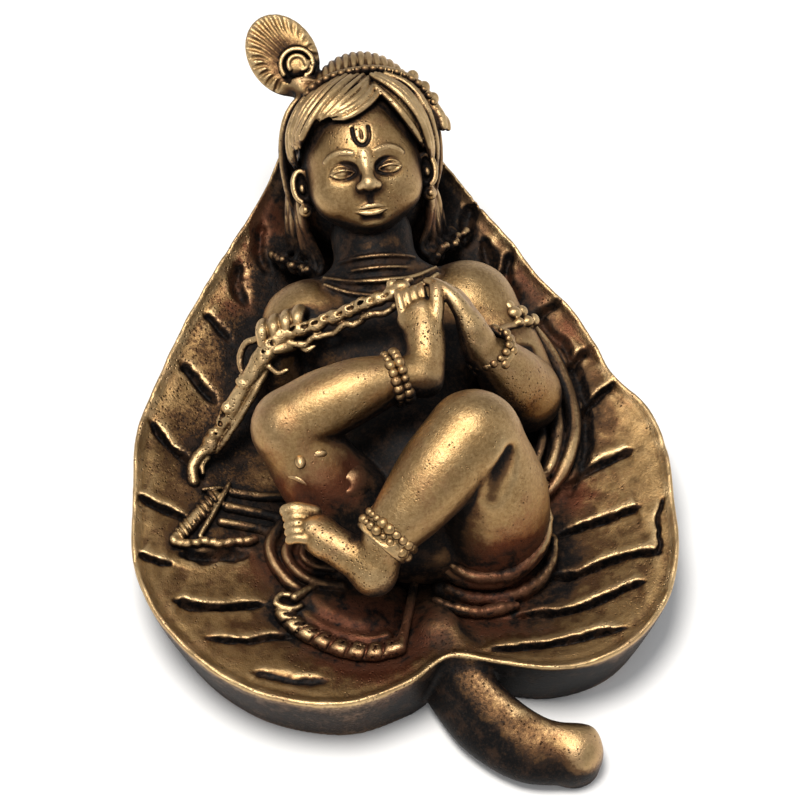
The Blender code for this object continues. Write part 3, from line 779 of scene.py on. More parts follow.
def add_near_arm(body):
    """The arm that reaches up and over to the raised foot, its hand bent like a sickle."""
    body.group(
        ball((10.2, 11.2, 8.6), (5.5, 5.4, 5.3)),
        bar((10.2, 11.0, 8.4, 5.4), (13.2, 6.2, 7.4, 4.6), (15.0, 1.4, 6.2, 4.2), steps=12),
        inner=1.0, blend=0.5, smooth=0.8,
    )
    body.group(
        bar(
            (15.2, 0.6, 6.0, 4.1), (14.0, -0.5, 10.0, 3.8), (12.2, -0.5, 13.6, 2.9),
            (10.6, -0.5, 15.6, 2.1), steps=12,
        ),
        ball((15.4, -0.4, 7.0), (3.9, 3.9, 4.2)),
        inner=0.9, blend=0.3, smooth=0.8,
    )
    body.group(
        bar((10.6, -0.4, 15.4, 2.0), (9.9, 0.4, 17.4, 1.8), (9.2, 1.2, 19.0, 1.5), steps=8),
        bar(
            (9.5, -0.4, 16.6, 1.45), (9.2, 0.1, 18.0, 1.35), (8.9, 1.1, 19.4, 1.2),
            (8.2, 2.4, 20.6, 1.05), (7.3, 3.6, 21.4, 0.86), (6.2, 4.9, 21.7, 0.68), (4.9, 6.1, 21.3, 0.5),
            steps=10,
        ),
        bar(
            (9.4, 1.8, 18.6, 1.1), (8.6, 3.6, 19.8, 0.95), (7.4, 5.0, 20.6, 0.8), (6.0, 5.9, 20.9, 0.6),
            steps=8,
        ),
        inner=0.8, blend=0.25, smooth=0.35,
    )
    for shift in (0.0, 0.75):
        groove = [
            (5.2, 6.4 + shift, 21.0, 0.16), (6.8, 5.4 + shift, 21.3, 0.2), (8.0, 4.0 + shift, 20.9, 0.16),
        ]
        body.bar(groove, blend=0.25, steps=6, cut=True)
    crease = [(12.4, 3.6, 12.4, 0.25), (13.8, 3.0, 12.0, 0.42), (16.4, 3.4, 10.6, 0.25)]
    body.bar(crease, blend=0.7, cut=True)


def add_folded_leg(body):
    """The leg whose foot is lifted to the mouth."""
    body.group(
        bar((-3.0, -14.0, 5.2, 5.3), (-8.0, -11.2, 9.8, 4.9), (-11.2, -7.4, 14.6, 4.2), steps=14),
        ball((-11.6, -6.9, 15.2), (4.0, 3.9, 4.1)),
        inner=1.2, blend=0.4, smooth=0.9,
    )
    body.group(
        bar(
            (-11.4, -6.8, 15.4, 4.0), (-8.0, -6.0, 17.0, 3.9), (-4.0, -5.2, 18.2, 3.5),
            (-0.6, -4.6, 18.7, 2.7), steps=12,
        ),
        inner=1.2, blend=0.5, smooth=0.9,
    )
    body.group(
        bar((-0.6, -4.6, 18.6, 2.4), (2.2, -4.2, 18.4, 2.2), steps=8),
        bar(
            (3.5, -4.6, 18.0, 2.0), (3.8, -2.2, 18.6, 2.15), (4.0, 0.4, 19.3, 2.25),
            (4.1, 2.6, 20.0, 1.9), steps=10,
        ),
        ball((2.6, 2.2, 19.9), (1.5, 1.5, 1.2)),
        inner=0.9, blend=0.3, smooth=0.5,
    )
    for i in range(4):
        x = 1.7 + 0.86 * i
        toe = [
            (x + 0.2, 2.6 + 0.1 * i, 20.4, 0.55), (x, 4.3 + 0.12 * i, 21.1, 0.50),
            (x - 0.05, 5.1 + 0.14 * i, 21.0, 0.48),
        ]
        body.group(bar(* toe), inner=0.3, blend=0.12)
    big = [
        (5.0, 0.4, 20.3, 0.85), (5.5, 2.4, 21.1, 0.85), (5.75, 4.0, 21.6, 0.86), (5.8, 4.8, 21.6, 0.84),
    ]
    body.group(bar(* big), inner=0.3, blend=0.2)


def add_raised_leg(body):
    """The leg with the bent knee on the other side, and its foot."""
    body.group(
        bar((9.2, -16.4, 5.4, 6.3), (9.4, -15.8, 11.6, 5.9), (7.8, -13.6, 18.4, 4.9), steps=18),
        ball((7.4, -13.0, 19.4), (4.7, 4.6, 4.6)),
        inner=1.4, blend=0.4, smooth=1.1,
    )
    body.group(
        bar(
            (6.8, -13.4, 19.6, 4.5), (3.6, -16.4, 18.2, 4.5), (0.4, -19.2, 16.4, 3.8),
            (-2.8, -21.6, 14.4, 2.8), steps=14,
        ),
        inner=1.4, blend=0.45, smooth=1.0,
    )
    scratches = ((8.0, -20.6, 17.4, 9.6), (9.4, -20.9, 16.2, 10.8), (10.6, -20.6, 15.2, 11.6))
    for x, y, z, end in scratches:
        body.bar(
            [(x, y, z, 0.07), (0.5 * (x + end), y + 0.1, z + 0.2, 0.11), (end, y + 0.5, z + 0.5, 0.07)],
            blend=0.1, cut=True,
        )
    body.group(
        bar((-2.6, -21.6, 14.6, 2.7), (-4.4, -23.6, 12.0, 2.3)),
        ball((-4.4, -24.2, 11.4), (2.4, 2.4, 2.4)),
        bar((-4.6, -23.8, 11.6, 2.1), (-7.4, -21.6, 12.6, 2.1), (-10.2, -19.4, 13.0, 1.8)),
        ball((-9.4, -19.6, 12.8), (1.8, 2.4, 1.5)),
        inner=0.9, blend=0.3,
    )
    for i in range(5):
        y = -20.6 + 0.92 * i
        big = 0.22 if i == 4 else 0.0
        body.group(
            bar(
                (-10.0, y, 13.2, 0.62 + big), (-11.8, y + 0.35, 13.7, 0.6 + big),
                (-12.9, y + 0.5, 13.3, 0.52 + big),
            ),
            inner=0.3, blend=0.12,
        )
    wedge = [(10.8, -16.7, 20.4, 0.35), (9.5, -18.6, 18.9, 0.65), (8.6, -19.9, 17.2, 0.2)]
    body.bar(wedge, blend=1.6, cut=True)


# The face

# The plan of the face, on the usual proportions of a small child's head: five high to four wide,
# the brows halfway up, and the part below them in quarters for the eyes, nose, mouth and chin
HEAD_WIDTH = 13.2
CROWN = 8.3
CHIN = CROWN - 1.25 * HEAD_WIDTH
BROWS = 0.5 * (CROWN + CHIN)
QUARTER = (BROWS - CHIN) / 4.0
EYES = BROWS - 0.8 * QUARTER
NOSE = BROWS - 2.0 * QUARTER
MOUTH = BROWS - 2.9 * QUARTER
EYE_WIDTH = HEAD_WIDTH / 5.0


def sculpt_face(sizes):
    part = part_size(sizes)
    clay = Clay((-9.0, -10.5, -7.5), (9.0, 9.0, 9.5), step_of(sizes, 0.105), head_frame(sizes))
    face = Shaper(clay, part)
    half = 0.5 * HEAD_WIDTH
    face.group(
        ball((0.0, CROWN - 7.3, -0.8), (half, 7.3, 7.2)),
        ball((0.0, NOSE + 2.2, 0.5), (0.93 * half, 6.0, 5.7)),
        ball((0.0, CHIN + 2.1, 2.3), (0.44 * half, 2.1, 2.6)),
        ball((-0.5 * half, NOSE + 0.4, 2.6), (2.6, 2.5, 2.4)),
        ball((0.5 * half, NOSE + 0.4, 2.6), (2.6, 2.5, 2.4)),
        inner=1.8,
    )
    for side in (-1.0, 1.0):
        add_eye(face, side)
        add_ear(face, side)
    add_nose(face)
    add_mouth(face)
    add_brow_mark(face)
    return clay


def on_face(face, points):
    """Points across the face as x, y, radius and how far off it: each with its height, and its radius."""
    return [(x, y, face.top(x, y) + rise, radius) for x, y, radius, rise in points]


def add_eye(face, side):
    """A calm, half closed eye, one fifth of the head wide, under a gently arched brow."""
    middle = EYE_WIDTH * side
    half = 0.5 * EYE_WIDTH * side
    skin = face.top(middle, EYES)
    face.ball((middle, EYES + 0.1, skin), (1.7, 0.95, 0.65), blend=0.8, cut=True)
    deep = face.top(middle, EYES)
    face.ball((middle, EYES, deep - 0.35), (1.25, 0.75, 0.9), blend=0.1)

    def arc(heights, radius, rise):
        rows = []
        for place, height in zip((-1.0, -0.5, 0.1, 0.6, 1.0), heights):
            end = abs(place) > 0.9
            thick = radius * (0.7 if end else 1.0)
            rows.append((middle + place * half, EYES + height, thick, 0.3 * rise if end else rise))
        return on_face(face, rows)

    face.bar(arc((-0.08, 0.55, 0.78, 0.58, 0.0), 0.2, 0.1), blend=0.12, steps=8)
    face.bar(arc((-0.02, 0.2, 0.28, 0.18, 0.0), 0.16, 0.1), blend=0.08, steps=8)
    face.bar(arc((-0.12, -0.46, -0.56, -0.36, 0.0), 0.15, 0.06), blend=0.12, steps=8)
    brow = []
    for place, height, radius in (
        (-1.0, 0.3, 0.2), (-0.5, 0.5, 0.28), (0.2, 0.6, 0.28), (0.9, 0.3, 0.24), (1.3, -0.1, 0.16),
    ):
        brow.append((middle + place * half, BROWS + height, radius, 0.02))
    face.bar(on_face(face, brow), blend=0.35, steps=8)


def add_nose(face):
    """A small nose as wide as the space between the eyes."""
    bridge = face.top(0.0, EYES)
    wing = 0.34 * EYE_WIDTH
    face.group(
        bar(
            (0.0, BROWS, bridge - 0.3, 0.55), (0.0, EYES, bridge + 0.05, 0.6),
            (0.0, NOSE + 1.1, bridge + 0.6, 0.75),
        ),
        ball((0.0, NOSE + 0.7, bridge + 0.65), (0.9, 0.75, 0.85)),
        ball((-wing, NOSE + 0.6, bridge + 0.05), (0.52, 0.5, 0.65)),
        ball((wing, NOSE + 0.6, bridge + 0.05), (0.52, 0.5, 0.65)),
        inner=0.45, blend=0.7,
    )
    for side in (-1.0, 1.0):
        face.ball((side * 0.48, NOSE + 0.05, bridge + 0.35), (0.2, 0.2, 0.25), blend=0.2, cut=True)
    face.bar(
        on_face(face, [(0.0, NOSE - 0.4, 0.2, 0.2), (0.0, MOUTH + 0.75, 0.24, 0.22)]),
        blend=0.5, cut=True,
    )


def add_mouth(face):
    """Full lips, closed and level, a little wider than the nose."""
    half = 0.62 * EYE_WIDTH
    upper = [
        (-1.0, 0.02, 0.12), (-0.5, 0.24, 0.28), (-0.16, 0.38, 0.32), (0.0, 0.3, 0.3), (0.16, 0.38, 0.32),
        (0.5, 0.24, 0.28), (1.0, 0.02, 0.12),
    ]
    lower = [
        (-0.85, -0.1, 0.12), (-0.4, -0.42, 0.3), (0.0, -0.5, 0.36), (0.4, -0.42, 0.3), (0.85, -0.1, 0.12),
    ]
    line = [
        (-1.1, 0.03, 0.1), (-0.5, -0.02, 0.13), (0.0, -0.05, 0.13), (0.5, -0.02, 0.13), (1.1, 0.03, 0.1),
    ]
    for rows in (upper, lower):
        face.bar(
            on_face(face, [(x * half, MOUTH + y, r, -0.04) for x, y, r in rows]),
            blend=0.35, steps=8,
        )
    face.bar(
        on_face(face, [(x * half, MOUTH + y, r, 0.0) for x, y, r in line]),
        blend=0.12, steps=8, cut=True,
    )
    under = [(x * half, MOUTH - 1.1, 0.24, 0.14) for x in (-0.5, 0.0, 0.5)]
    face.bar(on_face(face, under), blend=0.7, cut=True)


def add_brow_mark(face):
    """The mark of a U with a drop in it, cut in the forehead above the brows."""
    rows = ((-0.9, 3.1), (-0.88, 2.1), (-0.56, 1.35), (0.0, 1.05), (0.56, 1.35), (0.88, 2.1), (0.9, 3.1))
    mark = on_face(face, [(x, BROWS + y, 0.22, -0.05) for x, y in rows])
    face.bar(mark, blend=0.08, steps=8, cut=True)
    drop = on_face(face, [(0.0, BROWS + y, r, -0.03) for y, r in ((2.8, 0.12), (2.2, 0.2), (1.9, 0.16))])
    face.bar(drop, blend=0.08, steps=6, cut=True)


def add_ear(face, side):
    """An ear from the brows down to the nose, with its rim, its hollow and a stud under the lobe."""
    x = side * 6.9
    y = 0.5 * (BROWS + NOSE)
    face.ball((x, y, 0.2), (1.3, 2.05, 1.2), blend=0.5)
    face.ball((x + 0.25 * side, y + 0.1, 1.3), (0.75, 1.35, 0.8), blend=0.3, cut=True)
    rim = []
    for k in range(8):
        angle = math.radians(-75.0 + 235.0 * k / 7.0)
        out = side * (0.15 + 0.95 * math.cos(angle))
        rim.append((x + out, y + 0.1 + 1.75 * math.sin(angle), 1.25, 0.34))
    face.bar(rim, blend=0.2, steps=5)
    face.ball((x + 0.15 * side, y - 0.1, 1.05), (0.4, 0.6, 0.4), blend=0.2)
    face.ball((x + 0.1 * side, y - 2.6, 1.2), (0.8, 0.8, 0.7), blend=0.12)
    face.ball((x + 0.2 * side, y - 2.6, 1.85), (0.4, 0.4, 0.35), blend=0.1)


# The hair, the cap and the plume

# Each lock: its middle line over the head, half its width, how many strands, and their radius
LOCKS = (
    (((2.6, 8.9, 1.4), (1.4, 7.0, 4.2), (-0.6, 5.6, 5.6), (-2.9, 4.75, 5.5)), 1.25, 4, 0.37),
    (((1.2, 9.4, 1.2), (-0.9, 7.8, 3.7), (-2.7, 6.3, 4.8), (-4.4, 4.8, 4.8)), 1.25, 4, 0.36),
    (
        ((-0.8, 9.6, 0.6), (-3.2, 8.0, 2.6), (-5.4, 5.9, 3.1), (-6.8, 3.5, 2.5), (-6.9, 2.1, 2.6)),
        1.95, 5, 0.40,
    ),
    (
        ((-2.8, 9.2, -0.8), (-5.4, 7.5, 0.5), (-7.2, 4.7, 0.5), (-7.6, 2.2, 0.2), (-7.2, 0.4, 0.2)),
        1.3, 4, 0.38,
    ),
    (((2.8, 7.9, 3.2), (4.6, 5.2, 4.6), (6.1, 2.6, 3.9), (7.0, 0.6, 2.4)), 0.42, 2, 0.40),
    (
        ((3.2, 9.1, 1.4), (5.3, 7.1, 2.8), (7.0, 4.4, 2.5), (7.7, 1.5, 1.4), (7.7, -0.9, 0.8)),
        1.9, 5, 0.42,
    ),
    (
        ((4.2, 9.4, -0.4), (6.6, 7.6, 0.1), (8.0, 4.7, 0.0), (8.4, 1.5, -0.8), (8.2, -1.8, -1.4)),
        1.6, 5, 0.38,
    ),
    (
        ((5.0, 8.8, -3.0), (7.2, 6.8, -3.0), (8.3, 3.6, -3.4), (8.4, 0.0, -4.2), (8.0, -4.0, -5.2)),
        1.7, 5, 0.42,
    ),
    (
        ((-4.4, 8.8, -3.2), (-6.8, 6.6, -3.0), (-7.9, 3.2, -3.4), (-8.0, -0.6, -4.2), (-7.6, -4.4, -5.4)),
        1.7, 5, 0.42,
    ),
)


def add_lock(head, path, half, strands, radius):
    """Strands side by side along one line, drawn together at both ends."""
    line = smooth_path(path, 4)
    count = len(line)
    ahead = np.gradient(line, axis=0)
    ahead /= np.linalg.norm(ahead, axis=1)[:, None]
    out = line / np.array([7.6, 8.6, 7.6]) ** 2
    out /= np.linalg.norm(out, axis=1)[:, None]
    across = np.cross(ahead, out)
    share = np.arange(count) / (count - 1)
    wide = half * (0.72 + 0.28 * np.sin(math.pi * np.clip(0.1 + share, 0.0, 1.0)))
    wide = wide * (1.0 - 0.62 * smooth_step(0.78, 1.0, share))
    thick = radius * (0.8 + 0.25 * np.sin(math.pi * share)) * (1.0 - 0.55 * smooth_step(0.8, 1.0, share))
    wide = wide * (1.0 + 0.12 * np.sin(5.0 * share + path[0][0]))
    for i in range(strands):
        place = 2.0 * i / (strands - 1) - 1.0
        lift = 0.30 * (1.0 - place * place)
        rows = line + (place * wide)[:, None] * across + lift * out
        head.bar(np.column_stack([rows, thick]), blend=0.04, steps=1)


def sculpt_hair(sizes):
    part = part_size(sizes)
    clay = Clay((-13.5, -14.5, -18.0), (13.5, 20.5, 8.5), step_of(sizes, 0.135), head_frame(sizes))
    head = Shaper(clay, part)
    head.group(
        ball((0.4, 3.4, -2.4), (7.0, 6.0, 6.0)),
        ball((0.0, -1.5, -5.6), (7.6, 8.0, 4.6)),
        ball((0.2, -3.0, -10.0), (7.0, 6.5, 6.0)),
        ball((0.2, 1.8, -10.6), (6.4, 5.6, 6.0)),
        inner=1.5,
    )
    for path, half, strands, radius in LOCKS:
        add_lock(head, path, half, strands, radius)
    add_side_strands(head)
    add_back_strands(head)
    add_cap(head)
    add_plume(head)
    return clay


def add_side_strands(head):
    """Long loose strands down each side of the neck, wavy and uneven, their ends curled up."""
    rng = np.random.default_rng(31)
    for side in (-1.0, 1.0):
        for strand in range(9):
            deep = 0.62 * strand
            spread = 0.28 * strand
            stray = rng.uniform(-0.35, 0.35, (7, 3))
            rows = [
                (side * (6.9 + 0.10 * strand), 0.4, -1.4 - deep),
                (side * (7.2 + 0.14 * strand), -2.4, -2.4 - deep),
                (side * (7.0 + 0.7 * spread), -5.2, -3.4 - deep),
                (side * (6.5 + 1.1 * spread), -7.8, -4.3 - deep),
                (side * (6.0 + 1.6 * spread), -10.0 + 0.25 * strand, -4.9 - deep),
                (side * (6.4 + 1.9 * spread), -11.4 + 0.35 * strand, -4.6 - deep),
                (side * (7.2 + 1.9 * spread), -11.0 + 0.35 * strand, -4.0 - deep),
            ]
            rows = np.array(rows) + stray
            thick = 0.42 + 0.14 * rng.uniform() + np.array([0.0, 0.05, 0.04, -0.02, -0.06, -0.03, -0.02])
            head.bar(np.column_stack([rows, thick]), blend=0.14, steps=6)
            if strand % 3 == 0:
                head.ball(rows[-2] + (0.1 * side, -0.4, 0.2), (0.6, 0.7, 0.5), blend=0.3)


def add_back_strands(head):
    """The back of the hair, combed from the crown down to the leaf."""
    for i in range(15):
        angle = math.radians(-118.0 + 236.0 * i / 14.0)
        x = math.sin(angle)
        y = math.cos(angle)
        head.bar(
            [
                (0.3 + 4.6 * x, 3.0 + 3.4 * y, -7.6, 0.9), (0.3 + 6.7 * x, 1.6 + 5.4 * y, -9.6, 0.95),
                (0.2 + 7.2 * x, 0.6 + 6.2 * y, -12.6, 0.95), (0.2 + 6.9 * x, 0.0 + 6.2 * y, -15.6, 0.8),
            ],
            blend=0.2,
        )


# The beaded band over the hair, in the head's own directions
BAND = (
    (-4.9, 8.4, 0.9), (-3.4, 9.5, 0.8), (-0.4, 10.2, 0.8), (3.0, 10.2, 0.7), (5.8, 9.3, 0.5),
    (7.8, 7.7, 0.3), (9.0, 5.6, 0.1), (9.5, 3.9, 0.1),
)


def add_cap(head):
    """The pleated cap behind its beaded band."""
    head.ball((0.9, 6.6, -2.6), (5.9, 5.7, 2.7), blend=0.6)
    pleats = 14
    for i in range(pleats):
        angle = math.radians(-50.0 + 104.0 * i / (pleats - 1))
        sine = math.sin(angle)
        cosine = math.cos(angle)
        head.bar(
            [
                (0.9 + 6.5 * sine, 4.6 + 5.6 * cosine, 0.0, 0.38),
                (1.1 + 6.3 * sine, 5.7 + 6.25 * cosine, -1.2, 0.46),
                (1.2 + 5.9 * sine, 6.1 + 6.5 * cosine, -3.0, 0.42),
                (1.2 + 5.1 * sine, 5.5 + 5.7 * cosine, -4.8, 0.36),
            ],
            blend=0.06,
        )
    head.bar(smooth_path([(x, y, z - 0.5, 0.55) for x, y, z in BAND], 3), blend=0.15, steps=1)
    head.bar([(8.4, 5.6, -0.4, 0.7), (9.4, 4.2, -0.2, 0.75), (9.7, 2.9, 0.0, 0.6)], blend=0.3)
    head.bar([(9.2, 4.6, -0.9, 0.5), (10.1, 3.6, -0.8, 0.5), (10.3, 2.6, -0.5, 0.35)], blend=0.15)
    for x, y in ((7.2, 9.0), (8.3, 7.6), (9.1, 6.2)):
        head.ball((x, y, -0.6), (0.7, 0.75, 0.6), blend=0.2)


def add_plume(head):
    """A short feather: a smooth paddle cut with flutes that fan out from its eye."""
    centre = np.array([-6.9, 13.7, -2.6])
    lean = Matrix.Rotation(math.radians(24.0), 3, "Z")
    turn = np.array(lean)
    head.group(
        ball(centre, (3.9, 5.0, 1.0), turn=lean),
        bar((-3.4, 7.2, -1.6, 1.5), (-4.6, 8.8, -1.9, 1.35), (-5.6, 10.4, -2.4, 1.2)),
        bar((-2.2, 8.6, -1.6, 1.0), (-3.6, 9.6, -2.0, 0.9), (-5.0, 10.6, -2.4, 0.9)),
        inner=0.8, blend=0.4,
    )
    eye = centre + turn @ np.array([0.7, -1.9, 0.45])
    head.ball(eye + turn @ np.array([0.1, 0.1, 0.2]), (2.15, 2.15, 0.9), blend=0.2, cut=True)
    flutes = 18
    for i in range(flutes):
        angle = math.radians(-42.0 + 262.0 * i / (flutes - 1))
        side = math.cos(angle)
        up = math.sin(angle)
        root = eye + turn @ np.array([2.0 * side, 2.0 * up, 0.35])
        middle = centre + turn @ np.array([2.6 * side + 0.25, 3.1 * up - 0.35, 0.86])
        tip = centre + turn @ np.array([4.1 * side, 5.2 * up, 0.35])
        rows = [(*root, 0.26), (*middle, 0.34), (*tip, 0.34)]
        head.bar(rows, blend=0.1, steps=8, cut=True)
    head.ball(eye, (1.35, 1.4, 0.9), blend=0.1, turn=lean)
    for radius, thick, rise in ((1.85, 0.30, 0.4), (1.0, 0.26, 0.8)):
        arc = []
        for k in range(9):
            bend = math.radians(-30.0 + 215.0 * k / 8.0)
            spot = eye + turn @ np.array([radius * math.cos(bend), radius * math.sin(bend), rise])
            arc.append((*spot, thick))
        head.bar(arc, blend=0.12, steps=4)
    for shift in (-0.1, 0.7):
        base = np.array([0.55 + 0.1 * shift, -1.0 - 0.9 * shift, 0.7])
        hook = [
            (
                *(eye + turn @ (base + np.array([k * 0.35, 0.12 * k * k, 0.0]))),
                0.28,
            ) for k in (-1.0, 0.0, 1.0, 2.0)
        ]
        head.bar(hook, blend=0.12)
    for i in range(3):
        start = np.array([-2.4 - 0.9 * i, 8.7 - 0.45 * i, -0.35 - 0.05 * i])
        end = np.array([-4.6 - 0.5 * i, 10.4 - 0.5 * i, -1.2])
        rows = [(*start, 0.26), (*(0.5 * (start + end) + (0.0, 0.1, 0.12)), 0.34), (*end, 0.22)]
        head.bar(rows, blend=0.2)
    head.ball((-3.3, 8.9, -0.5), (0.85, 0.6, 0.6), blend=0.2)


# The dress


def on_leaf(leaf, points, lift, scale=1.0):
    """Points across the leaf's face, lifted off it, each with its radius and any extra lift."""
    rows = []
    for point in points:
        x, y, radius = (value * scale for value in point[:3])
        extra = point[3] if len(point) > 3 else 0.0
        height, _ = leaf.plain_top(np.array(x), np.array(y))
        rows.append((x, y, float(height) + (lift + extra) * scale, radius))
    return rows


def sculpt_dress(sizes):
    leaf = Leaf(sizes)
    part = part_size(sizes)
    clay = Clay((-27.0, -32.5, 2.5), (23.5, 14.0, 20.5), step_of(sizes, 0.15))
    dress = Shaper(clay, part, (0.0, 0.0, leaf.floor))
    add_scarf(clay, leaf, part)
    add_hip_folds(clay, leaf, part)
    add_fan(clay, leaf, part)
    add_strip(clay, leaf, part)
    add_waist_fold(dress)
    add_armlet(dress)
    add_rings(dress)
    return clay


def add_scarf(clay, leaf, part):
    """Two long round folds beside the elbow, from the armlet down to the hip."""
    lift = np.array([0.0, 0.0, leaf.floor, 0.0])
    folds = (
        (
            (17.0, 9.2, 7.4, 0.62), (18.6, 7.2, 5.8, 0.78), (19.9, 4.5, 4.4, 0.86),
            (20.6, 1.2, 3.6, 0.92), (20.6, -2.4, 3.3, 0.92), (19.6, -6.0, 3.2, 0.86),
            (18.1, -8.8, 3.0, 0.76), (16.4, -10.8, 2.9, 0.5),
        ),
        (
            (16.9, 6.6, 6.6, 0.5), (17.9, 4.2, 5.4, 0.74), (18.5, 1.2, 4.4, 0.84),
            (18.7, -1.6, 3.7, 0.86), (18.4, -4.5, 3.3, 0.8), (17.3, -7.3, 3.1, 0.7),
            (15.7, -9.7, 3.0, 0.45),
        ),
        ((16.6, 0.2, 4.0, 0.4), (16.9, -3.4, 3.4, 0.55), (15.9, -6.4, 3.1, 0.5), (14.6, -8.6, 3.0, 0.4)),
    )
    for fold in folds:
        clay.bar(np.array(fold) * part + lift, blend=0.2, steps=8)
    rng = np.random.default_rng(15)
    for i in range(6):
        start = np.array([16.6 - 0.1 * i, -8.6 - 0.62 * i, 3.6]) + rng.uniform(-0.2, 0.2, 3)
        end = start + np.array([-1.3, -0.9 - 0.2 * (i % 2), -0.2])
        middle = 0.5 * (start + end) + np.array([0.1, 0.15, 0.2])
        rows = np.array([(*start, 0.2), (*middle, 0.3), (*end, 0.2)]) * part + lift
        clay.bar(rows, blend=0.12)


def add_hip_folds(clay, leaf, part):
    """Rolled folds of cloth under the hip, one below the other, and the cloth they lie on."""
    lift = np.array([0.0, 0.0, leaf.floor, 0.0])
    folds = (
        (
            (15.2, -15.6, 8.4, 0.34), (15.1, -17.8, 8.0, 0.45), (14.2, -20.1, 7.3, 0.52),
            (12.1, -21.9, 6.7, 0.54), (9.8, -22.8, 6.3, 0.54), (6.4, -22.3, 6.1, 0.48),
            (4.2, -20.8, 6.4, 0.35),
        ),
        (
            (16.0, -17.8, 4.2, 0.35), (15.4, -20.0, 3.8, 0.46), (13.6, -22.3, 3.5, 0.54),
            (10.2, -23.7, 3.4, 0.6), (6.4, -23.5, 3.4, 0.54), (3.8, -22.0, 3.6, 0.42),
        ),
        (
            (10.9, -24.9, 3.4, 0.3), (9.2, -25.2, 3.5, 0.5), (6.8, -25.4, 3.6, 0.52),
            (4.1, -24.7, 3.8, 0.44), (2.2, -23.4, 3.8, 0.34),
        ),
    )
    for number, fold in enumerate(folds):
        rows = np.array(fold)
        under = rows + (-0.5, 0.6, -1.3, 0.75)
        if number < 2:
            clay.bar(under * part + lift, blend=0.5, steps=4)
    rng = np.random.default_rng(23)
    for fold in folds:
        rows = smooth_path(fold, 6)
        rows[:, 3] *= 1.3
        rows[:, 2] -= 0.2
        rows[:, 3] *= 1.0 + rng.uniform(-0.13, 0.13, len(rows))
        rows[:, 2] += rng.uniform(-0.08, 0.08, len(rows))
        clay.bar(rows * part + lift, blend=0.2, steps=2)


# The fanned end of the sash: its hem from the left tip, round the bottom, to the stem's side
FAN_HEM = ((-14.6, -22.6), (-13.2, -24.9), (-10.9, -26.9), (-8.2, -28.7), (-5.1, -29.6), (-2.4, -29.3))


def add_fan(clay, leaf, part):
    """The fanned end of the sash, its scalloped hem, and the loops of cloth above it."""
    cloth = clay.blank((-17.0, -32.0, 2.6), (3.0, -14.0, 12.0))
    for x, y, wide in (
        (-7.0, -22.0, 5.2), (-6.2, -25.0, 4.6), (-10.6, -21.6, 3.8), (-3.6, -22.5, 3.8),
        (-7.6, -17.8, 4.6),
    ):
        height, _ = leaf.plain_top(np.array(x), np.array(y))
        cloth.ball(
            np.array([x, y, float(height) - 0.1]) * part,
            np.array([wide, 0.8 * wide, 1.55]) * part,
            blend=1.2,
        )
    clay.merge(cloth, 0.4)
    hem = smooth_path(FAN_HEM, 10)
    count = len(hem)
    bumps = 8.0
    middle = np.array([-6.2, -19.5])
    for share, thick, rise in ((0.78, 0.6, 0.5), (0.55, 0.6, 0.8)):
        fold = [(*(middle + share * (spot - middle)), thick) for spot in hem[::6]]
        clay.bar(on_leaf(leaf, fold, rise, part), blend=0.9, steps=5)
    rows = []
    for number, (x, y) in enumerate(hem):
        wave = abs(math.sin(math.pi * bumps * number / (count - 1)))
        rows.append((x, y, 0.64 + 0.16 * wave, 0.16 * wave))
    clay.bar(on_leaf(leaf, rows, 0.75, part), blend=0.2, steps=2)
    inner = [
        (*(middle + 0.93 * (np.array(row[:2]) - middle)), row[2] + 0.05, row[3] - 0.15) for row in rows
    ]
    clay.bar(on_leaf(leaf, inner, 0.75, part), blend=0.4, steps=2)
    for number in range(1, count, 3):
        pull = (middle - hem[number]) / np.linalg.norm(middle - hem[number])
        slant = np.array([pull[1], -pull[0]]) * 0.5
        crease = []
        for reach, rise in ((-0.8, 0.5), (0.0, 1.42), (0.8, 1.38), (1.25, 0.8)):
            crease.append((*(hem[number] + pull * reach + slant * reach), 0.14, rise))
        clay.bar(on_leaf(leaf, crease, 0.0, part), blend=0.15, steps=4, cut=True)
    edge = [
        (-2.4, -29.3, 0.7, 0.1), (-1.5, -26.8, 0.5, 0.3), (-0.6, -23.9, 0.5, 0.6),
        (0.4, -20.4, 0.45, 0.8),
    ]
    clay.bar(on_leaf(leaf, edge, 0.8, part), blend=0.3, steps=6)
    loops = (
        (
            (
                (-13.2, -10.8), (-14.8, -13.4), (-14.3, -16.6), (-12.2, -19.8), (-9.0, -21.6),
                (-6.0, -22.0),
            ),
            1.0, 0.66,
        ),
        (((-11.6, -12.4), (-13.1, -15.0), (-12.3, -17.6), (-10.3, -19.4), (-7.6, -20.2)), 1.9, 0.6),
        (((-11.0, -14.6), (-11.4, -16.2), (-10.2, -17.6), (-8.2, -18.2)), 2.6, 0.4),
    )
    for points, lift, thick in loops:
        rows = [(x, y, thick) for x, y in points]
        clay.bar(on_leaf(leaf, rows, lift, part), blend=0.15, steps=7)
        under = [(x + 0.3, y + 0.3, thick + 0.5) for x, y in points]
        clay.bar(on_leaf(leaf, under, lift - 1.3, part), blend=0.4, steps=4)
    box = [
        (-12.2, -22.3, 0.36), (-13.2, -22.7, 0.36), (-14.9, -21.9, 0.38), (-14.1, -20.6, 0.38),
        (-12.7, -21.1, 0.4),
    ]
    clay.bar(on_leaf(leaf, box, 1.5, part), blend=0.12, steps=2)
    clay.bar(
        on_leaf(leaf, [(-12.8, -21.4, 0.5), (-10.8, -20.0, 0.42), (-9.0, -18.9, 0.4)], 1.9, part),
        blend=0.2,
    )


